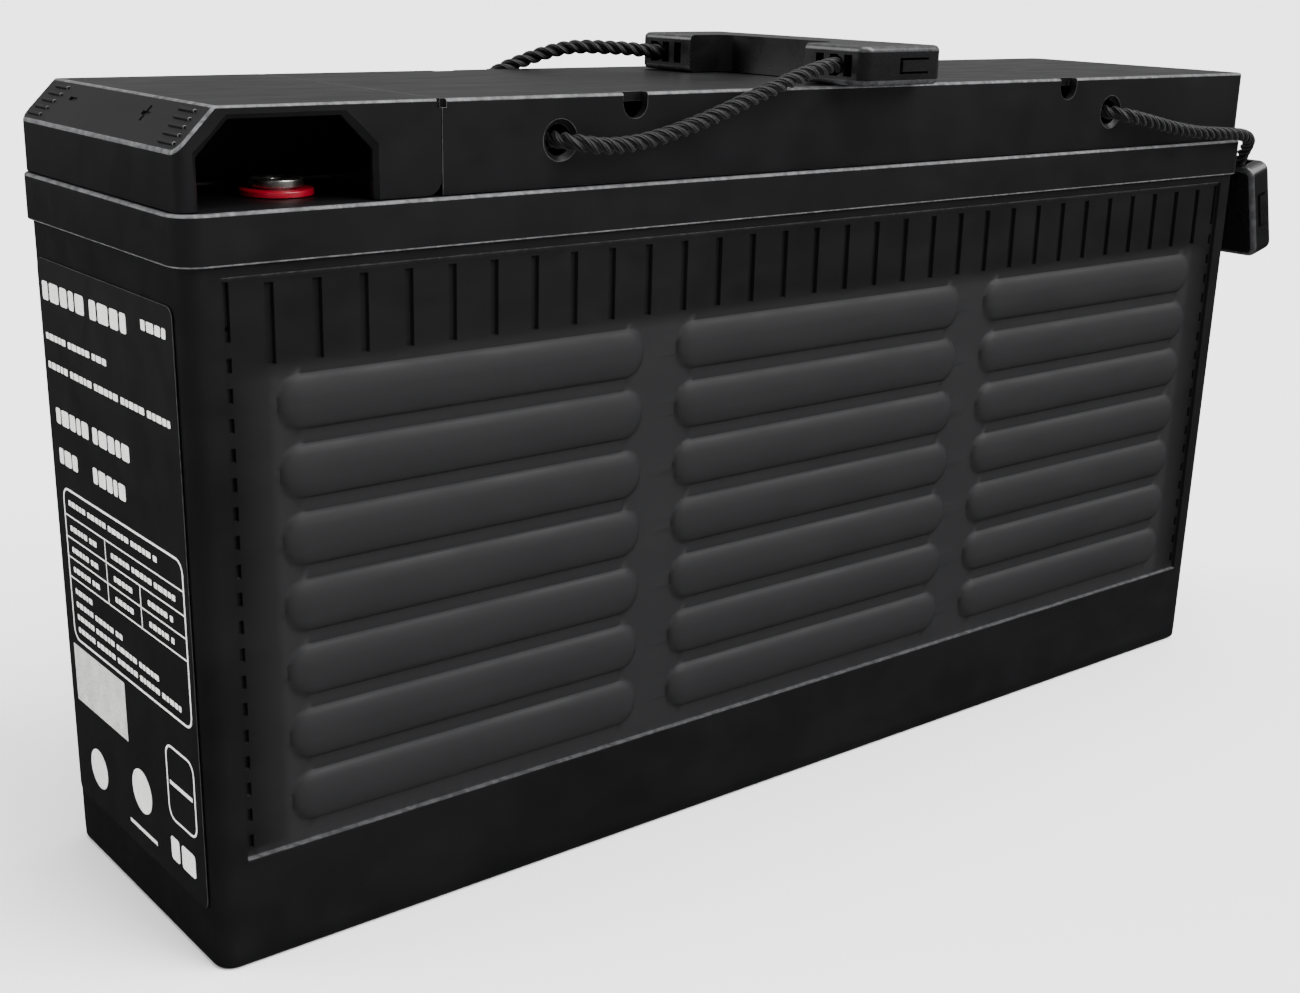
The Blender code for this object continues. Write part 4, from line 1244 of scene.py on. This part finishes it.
@dataclass
class FrontPrint:
    """The dark film on the front end and the blank bars and boxes printed on it; most sizes are in mm."""

    film_edge: float = 3 * MM
    ink_height: float = 0.06 * MM
    sunk: float = 0.02 * MM
    line: float = 0.7 * MM
    rule_height: float = 0.45
    box_corner: float = 4 * MM
    headings: Sequence[tuple] = (
        (44, -22, 180.6, 5.6, 4.6), (-27, -44, 182.4, 2.8, 3.0), (44, -3, 167, 1.9, 2.2),
        (44, -44, 158.3, 2.0, 2.2), (41, -15, 143.4, 4.8, 3.6), (41, 26, 131, 4.8, 3.4),
        (15, -13, 131, 4.8, 3.4),
    )
    small_print: Sequence[Point] = (
        (37, -28, 117), (37, 16, 109), (6, -38, 109), (37, 16, 102.2), (5, -9, 102.2), (-19, -38, 102.2),
        (37, 16, 95.8), (5, -9, 95.8), (-19, -38, 95.8), (37, 22, 88.8), (37, 2, 84.6), (37, -26, 80.4),
        (37, -40, 76.2),
    )
    film: MouldedPlastic = MouldedPlastic(
        "label_film", (12, 12, 13), roughness=(0.42, 0.52), grain_depth=0.004 * MM, gloss=0.28, wear_and_highlight=0.3
    )
    ink: Ink = Ink("white_ink", (226, 226, 224), (60, 60, 62))
    grey: Ink = Ink("grey_ink", (196, 196, 194), (70, 70, 72), 0.6)

    def face_x(self, z: float) -> float:
        """Where the film's outer face is at a height: it follows the end's draft."""
        low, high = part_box("front_label")
        share = (z - low.z) / (high.z - low.z)
        return low.x + (high.x - low.x - 0.3 * MM) * (1 - share)

    def raised(self, outline: Sequence[Flat], proud: float) -> list[Point]:
        """An outline in Y and Z laid on the film's face, standing out by so much."""
        return [(self.face_x(z) - proud, y, z) for y, z in outline]

    def plate(self, shape: BMesh, outline: Sequence[Flat]) -> None:
        """Adds a thin plate of ink."""
        loft(shape, [self.raised(outline, self.ink_height), self.raised(outline, -self.sunk)])

    def rounded(self, y: Flat, z: Flat, radius: float) -> list[Flat]:
        """The outline of a rounded rectangle.

        Args:
            y: Its two sides.
            z: Its bottom and top.
            radius: Its corner radius.

        Returns:
            The outline's points.
        """
        left, right, bottom, top = y[0] + radius, y[1] - radius, z[0] + radius, z[1] - radius
        points: list[Flat] = []
        for k, spot in enumerate(((right, top), (left, top), (left, bottom), (right, bottom))):
            points += arc(spot, radius, 90 * k, 90 * k + 90, 4)
        return points

    def words(self, shape: BMesh, left: float, right: float, z: float, tall: float, block: float) -> None:
        """Adds a line of blank blocks, which stands for a printed line without saying anything.

        Args:
            shape: The bmesh they are added to.
            left: Where the line starts, at the far side.
            right: Where it ends, nearer the near side.
            z: The line's middle height.
            tall: The blocks' height.
            block: A block's usual width.
        """
        y, number = left * MM, 0
        middle, half, block, end = z * MM, tall * MM / 2, block * MM, right * MM
        while y - block > end:
            width = min(block * (0.75 + 0.9 * ((number * 0.618 + 0.2) % 1)), y - end)
            self.plate(shape, self.rounded((y - width, y), (middle - half, middle + half), tall * MM * 0.16))
            y -= width + block * (0.28 if (number % 5) != 4 else 0.9)
            number += 1

    def frame_box(self, shape: BMesh, y: Flat, z: Flat) -> None:
        """Adds a rounded outline box, drawn with a thin line."""
        (left, right), (bottom, top) = ([edge * MM for edge in edges] for edges in (y, z))
        outer = self.rounded((left, right), (bottom, top), self.box_corner)
        line = self.line
        inner = self.rounded((left + line, right - line), (bottom + line, top - line), self.box_corner - line)
        proud, sunk = self.ink_height, -self.sunk
        sides = ((outer, proud), (inner, proud), (inner, sunk), (outer, sunk))
        loft(shape, [self.raised(*side) for side in sides], endless=True)

    def rule(self, shape: BMesh, y: Flat, z: Flat) -> None:
        """Adds a plain bar between two sides and two heights."""
        corners = ((y[1], z[1]), (y[0], z[1]), (y[0], z[0]), (y[1], z[0]))
        self.plate(shape, [(py * MM, pz * MM) for py, pz in corners])

    def lines(self) -> BMesh:
        """All the white print: lines of blocks, a table and, at the foot, discs, a barred box and blocks."""
        shape = bmesh.new()
        for line in self.headings:
            self.words(shape, *line)
        self.frame_box(shape, (-44.2, 41), (72, 121.5))
        for z in (112.5, 105.5, 99, 92.5):
            self.rule(shape, (-43.6, 40.4), (z, z + self.rule_height))
        for y, low, high in ((10, 92.5, 112.5), (-14, 92.5, 105.5)):
            self.rule(shape, (y, y + self.rule_height), (low, high))
        for line in self.small_print:
            self.words(shape, *line, 1.7, 1.9)
        for y, z, radius in ((29, 32, 6.5), (-4.5, 38, 7.0)):
            self.plate(shape, list(arc((y * MM, z * MM), radius * MM, 0, 348.75, 31)))
        self.rule(shape, (-13.6, 6), (24, 25.2))
        self.frame_box(shape, (-43, -24), (38, 62))
        self.rule(shape, (-41, -26), (49.4, 50.6))
        self.words(shape, -24, -43, 28.5, 7.5, 6.0)
        return shape

    def build(self) -> None:
        """Builds and dresses the film and its print."""
        low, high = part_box("front_label")
        film, panel = bmesh.new(), bmesh.new()
        outline = self.rounded((low.y, high.y), (low.z, high.z), self.film_edge)
        loft(film, [self.raised(outline, 0), self.raised(outline, -0.3 * MM)])
        self.rule(panel, (3.4, 42.5), (51.2, 70))
        settled = Blank("label_film", film).settle(0.08 * MM, 1)
        dress(settled, self.film, "label_black", Body.BATTERY, "front_label")
        dress(new_object("label_print", self.lines(), 30), self.ink, "label_black", Body.BATTERY)
        dress(new_object("label_blank_panel", panel, 30), self.grey, "label_black", Body.BATTERY)


# ---- Lid and covers ----


def middle_of(name: str) -> Flat:
    """The middle of a node, seen from above."""
    low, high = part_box(name)
    return (low.x + high.x) / 2, (low.y + high.y) / 2


def split_ticks(x: float, high: Vector) -> BMesh:
    """Cutter: the small nicks at both ends of the line where the two covers meet."""
    shape = bmesh.new()
    for y in (-high.y, high.y):
        add_rod(shape, (x, y, high.z - 2.4 * MM), (x, y, high.z + 1 * MM), 1.4 * MM, 20)
    return shape


@dataclass
class Lid:
    """The lid: its rim over the container's mouth, its deck, valve seats and the holes for the terminals."""

    length: float = 455 * MM
    width: float = 110 * MM
    bottom: float = 200.5 * MM
    top: float = 214 * MM
    deck_bottom: float = 210.8 * MM
    corner: float = 7.5 * MM
    mouth: Flat = (452.6 * MM, 107.6 * MM)
    seat_radii: Flat = (4.6 * MM, 7.2 * MM)
    seat_top: float = 220 * MM
    post_hole: float = 8.2 * MM
    reach: float = 5 * MM
    finish: MouldedPlastic = CASE

    def build(self) -> None:
        """Builds and dresses the lid."""
        x, y, bottom, reach = self.length / 2, self.width / 2, self.bottom, self.reach
        shape = box((-x, -y, bottom), (x, y, self.top))
        round_edges(shape, self.corner, 8, upright)
        top = self.top - HAIR
        # The deck's top edge is rounded and painted pale: edge wear and a painted highlight along it.
        round_edges(shape, 0.9 * MM, 3, lambda a, b: min(a.z, b.z) > top, True)
        x, y = (size / 2 for size in self.mouth)
        skirt = box((-x, -y, bottom - reach), (x, y, self.deck_bottom))
        round_edges(skirt, 6 * MM, 8, upright)
        seats, bores = bmesh.new(), bmesh.new()
        inner, outer = self.seat_radii
        for number in range(1, 7):
            spot = middle_of(f"safety_valve_{number}")
            add_rod(seats, (*spot, self.deck_bottom + 1 * MM), (*spot, self.seat_top), outer)
            add_rod(bores, (*spot, bottom), (*spot, self.seat_top + reach), inner, 28)
        for name in ("positive_seal_ring", "negative_seal_ring"):
            spot = middle_of(name)
            add_rod(bores, (*spot, bottom), (*spot, self.top + reach), self.post_hole, 48)
        piece = Blank("lid_moulding", shape).cut(skirt).join(seats).cut(bores).settle(0.5 * MM, 3)
        dress(piece, self.finish, "case_black", Body.BATTERY, "lid")


@dataclass
class TopCover:
    """The raised cover over the valves, with ringed rope holes and a notch pair along each top edge."""

    wall: float = 2.8 * MM
    hole_x: Flat = (-110.3 * MM, 140.2 * MM)
    hole_z: float = 227.4 * MM
    hole_radius: float = 4.5 * MM
    ring_radius: float = 6.0 * MM
    sink: float = 1.2 * MM
    notch_x: Flat = (-83.5 * MM, 114.5 * MM)
    notch_width: float = 9 * MM
    notch_depth: float = 7.5 * MM
    reach: float = 5 * MM
    finish: MouldedPlastic = COVER

    def openings(self, high: Vector) -> list[BMesh]:
        """Cutters: one for the rope holes, one for their countersinks and one for the U-shaped notches."""
        holes, sinks, notches = bmesh.new(), bmesh.new(), bmesh.new()
        reach, z, radius = self.reach, self.hole_z, self.notch_width / 2
        for side in (-1, 1):
            face = high.y * side
            inner, outer = face - side * (self.wall + reach), face + side * reach
            sunk, proud = face - side * self.sink, face + side * self.sink
            for x in self.hole_x:
                add_rod(holes, (x, inner, z), (x, outer, z), self.hole_radius)
                wide = 2 * self.ring_radius - self.hole_radius
                add_rod(sinks, (x, sunk, z), (x, proud, z), self.hole_radius, 40, wide)
            for x in self.notch_x:
                outline = [(x + radius, high.z + reach), (x - radius, high.z + reach)]
                outline += arc((x, high.z - self.notch_depth + radius), radius, 180, 360, 12)
                ends = (face - side * (self.wall + 1 * MM), outer)
                loft(notches, [[(px, y, pz) for px, pz in outline] for y in ends])
        return [holes, sinks, notches]

    def build(self) -> None:
        """Builds and dresses the cover."""
        low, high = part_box("top_cover")
        shape = box(low, high)
        round_edges(shape, 4 * MM, 6, lambda a, b: upright(a, b) and a.x > 0)
        top, front = high.z - HAIR, low.x + HAIR
        # The top edges are rounded and painted pale: edge wear and a painted highlight along them.
        round_edges(shape, 0.9 * MM, 4, lambda a, b: min(a.z, b.z) > top and max(a.x, b.x) > front, True)
        wall = Vector((self.wall,) * 3)
        hollow = box((low.x + wall.x, low.y + wall.y, low.z - self.reach), high - wall)
        blank = Blank("top_cover_moulding", shape).cut(hollow)
        for cutter in (*self.openings(high), split_ticks(low.x, high)):
            blank.cut(cutter)
        dress(blank.settle(0.45 * MM, 2), self.finish, "cover_black", Body.BATTERY, "top_cover")


@dataclass
class TerminalCover:
    """The lift-off cover over the terminals: a chamfered nose, side windows, finger ridges and pole marks."""

    wall: float = 2.8 * MM
    nose: float = 11 * MM
    window_x: Flat = (-220 * MM, -170.3 * MM)
    window_top: float = 236.6 * MM
    window_chamfer: float = 9 * MM
    lip: float = 1.3 * MM
    heel: float = 4.6 * MM
    reach: float = 5 * MM
    ridge_count: int = 5
    ridge_length: float = 9 * MM
    ridge_radius: float = 0.6 * MM
    mark_size: float = 5.2 * MM
    mark_depth: float = 0.6 * MM
    mark_y: Flat = (28.8 * MM, -21 * MM)
    barrier: float = 1.6 * MM
    barrier_gap: float = 0.4 * MM
    finish: MouldedPlastic = COVER

    def body(self, low: Vector, high: Vector) -> BMesh:
        """The solid cover: the nose chamfer at the front and a round heel at the lower rear."""
        points = [(low.x, low.z), (low.x, high.z - self.nose), (low.x + self.nose, high.z), (high.x, high.z)]
        points += arc((high.x - self.heel, low.z + self.heel), self.heel, 0, -90, 8)
        shape = prism(points, low.y, high.y)
        nose_z, front, split = high.z - self.nose, low.x + 1 * MM, high.x - HAIR
        round_edges(
            shape, 3 * MM, 4, lambda a, b: upright(a, b) and max(a.x, b.x) < front and max(a.z, b.z) <= nose_z
        )
        # The edges round the nose and top are rounded and painted pale: edge wear and a painted highlight
        # along them.
        round_edges(
            shape, 0.7 * MM, 3,
            lambda a, b: min(a.z, b.z) > nose_z - HAIR and min(a.x, b.x) < split and not upright(a, b), True,
        )
        return shape

    def hollow(self, low: Vector, high: Vector) -> BMesh:
        """Cutter: the cover's inside, which follows its outside."""
        wall, nose, heel, below = self.wall, self.nose, self.heel, low.z - self.reach
        outline = [
            (low.x + wall, below), (low.x + wall, high.z - nose - 0.4 * wall),
            (low.x + nose + 0.4 * wall, high.z - wall), (high.x - wall, high.z - wall),
            *arc((high.x - heel, low.z + heel), heel - wall, 0, -60, 4),
            (high.x - heel + (heel - wall) / 2, below),
        ]
        return prism(outline, low.y + wall, high.y - wall)

    def window(self, low: Vector, high: Vector) -> BMesh:
        """Cutter: both windows, each with a flared lip at its outer face."""
        (start, end), top, edge = self.window_x, self.window_top, self.window_chamfer
        below = low.z - self.reach
        outline = [
            (start, below), (start, top - edge), (start + edge, top), (end - edge, top), (end, top - edge),
            (end, below),
        ]
        middle, lip = (start + end) / 2, self.lip
        flares = ((low.y - lip, 2 * lip), (low.y + lip, 0), (high.y - lip, 0), (high.y + lip, 2 * lip))
        rings = []
        for y, spread in flares:
            scale = 1 + 2 * spread / (end - start)
            rings.append([(middle + (x - middle) * scale, y, z + spread) for x, z in outline])
        shape = bmesh.new()
        loft(shape, rings)
        return shape

    def on_nose(self, low: Vector, high: Vector) -> Matrix:
        """The place of the nose chamfer's middle: X runs up the slope, Y across and Z out of it."""
        x, z = low.x + self.nose / 2, high.z - self.nose / 2
        return Matrix.Translation((x, 0, z)) @ Matrix.Rotation(math.radians(-45), 4, "Y")

    def marks(self, low: Vector, high: Vector) -> BMesh:
        """Cutter: the sunk plus and minus marks on the nose."""
        shape = bmesh.new()
        deep, half, size, uphill = self.mark_depth, self.mark_size / 8, self.mark_size / 2, 2 * MM
        bar = [(-half, -size), (half, -size), (half, size), (-half, size)]
        cross = [
            (-half, -size), (half, -size), (half, -half), (size, -half), (size, half), (half, half),
            (half, size), (-half, size), (-half, half), (-size, half), (-size, -half), (-half, -half),
        ]
        for y, outline in zip(self.mark_y, (bar, cross)):
            loft(shape, [[(uphill + px, y + py, z) for px, py in outline] for z in (-deep, deep)])
        shape.transform(self.on_nose(low, high))
        return shape

    def ridges(self, low: Vector, high: Vector) -> BMesh:
        """The finger ridges at both ends of the nose."""
        shape = bmesh.new()
        pitch = self.nose * math.sqrt(2) / (self.ridge_count + 1)
        for side in (-1, 1):
            for number in range(self.ridge_count):
                x = (number - (self.ridge_count - 1) / 2) * pitch
                outer = side * (high.y - 3.5 * MM - 0.8 * MM * number)
                add_rod(shape, (x, outer, 0), (x, outer - side * self.ridge_length, 0), self.ridge_radius, 16)
        shape.transform(self.on_nose(low, high))
        return shape

    def pole_barrier(self, low: Vector, high: Vector) -> BMesh:
        """Adder: the barrier that hangs from the roof between the poles."""
        inset, half, bottom = self.wall - 0.5 * MM, self.barrier / 2, low.z + self.barrier_gap
        front, rear, top = low.x + inset, high.x - inset, high.z - inset
        bend, slope = low.x + self.nose + 1 * MM, high.z - self.nose - 0.1 * MM
        return prism([(front, bottom), (rear, bottom), (rear, top), (bend, top), (front, slope)], -half, half)

    def build(self) -> None:
        """Builds and dresses the cover and its ridges."""
        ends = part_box("terminal_cover")
        blank = Blank("terminal_cover_moulding", self.body(*ends))
        blank.cut(self.hollow(*ends)).cut(self.window(*ends)).join(self.pole_barrier(*ends))
        blank.cut(split_ticks(ends[1].x, ends[1])).cut(self.marks(*ends))
        dress(blank.settle(0.6 * MM, 3), self.finish, "cover_black", Body.TERMINAL_COVER, "terminal_cover")
        ridges = Blank("nose_ridges", self.ridges(*ends)).settle(0.15 * MM, 2, 50)
        dress(ridges, self.finish, "cover_black", Body.TERMINAL_COVER)


# ---- Terminals, valves and cells ----


class Pole(Enum):
    """The two terminals."""

    POSITIVE = "positive"
    NEGATIVE = "negative"


@dataclass
class Terminal:
    """One terminal: a tinned post with a tapped head and a coloured ring."""

    pole: Pole
    post_radius: float = 5.6 * MM
    head_radius: float = 7.2 * MM
    thread_radius: float = 3.4 * MM
    thread_depth: float = 10 * MM
    thread_pitch: float = 1.25 * MM
    ring_radius: float = 10 * MM
    ring_edge: float = 0.6 * MM
    sides: int = 72
    red: MouldedPlastic = MouldedPlastic(
        "pole_red", (172, 8, 40), 0.08, (0.25, 0.4), worn=(226, 110, 112), wear_and_highlight=0.4
    )
    black: MouldedPlastic = MouldedPlastic("pole_black", (22, 22, 24), 0.12, (0.25, 0.4))

    def thread(self, top: float) -> list[Flat]:
        """The tapped bore's profile, from its mouth down to its bottom."""
        radius, pitch = self.thread_radius, self.thread_pitch
        start = top - 0.6 * MM
        points = [(radius + 0.7 * MM, top), (radius + 0.1 * MM, start)]
        for turn in range(int(self.thread_depth / pitch) - 1):
            z = start - turn * pitch
            crest = (radius + 0.55 * MM, z - 0.65 * pitch)
            points += [(radius, z - 0.25 * pitch), crest, (radius, z - pitch)]
        return points + [(radius, top - self.thread_depth), (0, top - self.thread_depth - 1.2 * MM)]

    def build(self) -> None:
        """Builds and dresses the post and the ring."""
        kind = self.pole.value
        low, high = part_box(kind + "_terminal")
        ring_low, ring_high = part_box(kind + "_seal_ring")
        centre = (low + high) / 2
        head, post, radius, edge = ring_high.z + GAP, self.post_radius, self.head_radius, 0.5 * MM
        profile = [
            (0, low.z), (post - edge, low.z), (post, low.z + edge), (post, head), (radius - edge, head),
            *list(arc((radius - edge, head + edge), edge, -90, 0, 4))[1:],
            *arc((radius - edge, high.z - edge), edge, 0, 90, 5), *self.thread(high.z),
        ]
        body = new_object(kind + "_terminal_post", lathe(profile, centre, self.sides), 40)
        metal = TurnedMetal(kind + "_tinned", (214, 214, 208), tuple(centre))
        dress(body, metal, "tinned_metal", Body.BATTERY, kind + "_terminal")
        inner, outer, edge = post + GAP, self.ring_radius, self.ring_edge
        section = [
            (inner, ring_low.z), (inner, ring_high.z),
            *arc((outer - edge, ring_high.z - edge), edge, 90, 0, 5), (outer, ring_low.z),
        ]
        ring = new_object(kind + "_colour_ring", lathe(section, centre, self.sides), 40)
        looks = {Pole.POSITIVE: (self.red, "positive_red"), Pole.NEGATIVE: (self.black, "negative_black")}
        dress(ring, *looks[self.pole], Body.BATTERY, kind + "_seal_ring")


@dataclass
class SafetyValve:
    """One rubber valve cap: a ribbed skirt under a crown with a ring-shaped groove."""

    number: int
    ribs: int = 24
    rib_depth: float = 0.35 * MM
    wall: float = 1.9 * MM
    roof: float = 2.3 * MM
    edge: float = 1.2 * MM
    finish: SoftRubber = SoftRubber("valve_rubber", (33, 33, 34))

    def build(self) -> None:
        """Builds and dresses the cap."""
        name = f"safety_valve_{self.number}"
        low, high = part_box(name)
        centre, top, edge = (low + high) / 2, high.z, self.edge
        radius = (high.x - low.x) / 2
        inner, roof, groove = radius - self.wall, top - self.roof, top - 0.4 * MM
        profile = [
            (0, top), (2.2 * MM, top), (2.7 * MM, groove), (5.4 * MM, groove), (5.9 * MM, top),
            *arc((radius - edge, top - edge), edge, 90, 0, 5), (radius, low.z + 1 * MM),
            (radius - 0.3 * MM, low.z), (inner, low.z), (inner, roof), (0, roof),
        ]
        cap = lathe(profile, centre, 4 * self.ribs)
        for vertex in cap.verts:
            off = vertex.co - centre
            out = math.hypot(off.x, off.y)
            if out > radius - 0.1 * MM:
                notch = self.rib_depth * (0.5 - 0.5 * math.cos(self.ribs * math.atan2(off.y, off.x)))
                vertex.co.xy -= off.xy / out * notch
        piece = new_object(f"valve_cap_{self.number}", cap, 45)
        dress(piece, self.finish, "rubber_black", f"valve_{self.number}", name)


@dataclass
class Cells:
    """What the container holds: plates, glass mats, links, the valve strip and the terminal seals."""

    positive: PastedPlate = PastedPlate("positive_paste", (98, 62, 46), (70, 60, 56))
    negative: PastedPlate = PastedPlate("negative_paste", (120, 124, 128), (150, 152, 156))
    mat: GlassFelt = GlassFelt("glass_felt", (226, 226, 220))
    link: CastLead = CastLead("cast_lead", (132, 136, 142))
    seal: SoftRubber = SoftRubber("seal_rubber", (26, 26, 27), (0.35, 0.6))
    strip: MouldedPlastic = MouldedPlastic("strip_plastic", (74, 76, 78), roughness=(0.45, 0.6))

    def build(self) -> None:
        """Gives each inner node its material."""
        finishes: dict[str, Finish] = {"valve_strip": self.strip}
        finishes.update({pole.value + "_o_ring": self.seal for pole in Pole})
        for number in range(1, 7):
            finishes[f"cell_{number}_positive_plates"] = self.positive
            finishes[f"cell_{number}_negative_plates"] = self.negative
            finishes[f"cell_{number}_separators"] = self.mat
        finishes.update({f"intercell_link_{number}": self.link for number in range(1, 6)})
        for name, finish in finishes.items():
            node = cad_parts[name]
            node.data.materials.clear()
            node.data.materials.append(finish.material())
            log.info("%s: dressed in %s", name, finish.name)


class Battery:
    """The whole battery, sub-assembly by sub-assembly."""

    def __init__(self) -> None:
        """Lists the sub-assemblies in the order in which they are built."""
        valves = [SafetyValve(number) for number in range(1, 7)]
        covers = [Lid(), TopCover(), TerminalCover()]
        self.parts = [Handles(), Container(), FrontPrint(), *covers, *map(Terminal, Pole), *valves, Cells()]

    def build(self) -> None:
        """Builds the sub-assemblies in order."""
        for part in self.parts:
            log.info("building %s", type(part).__name__)
            part.build()


def main() -> None:
    """Builds the studio and the battery."""
    logging.basicConfig(level=logging.INFO, format="%(name)s: %(message)s")
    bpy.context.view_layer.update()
    Studio().build()
    Battery().build()


if __name__ == "__main__":
    main()
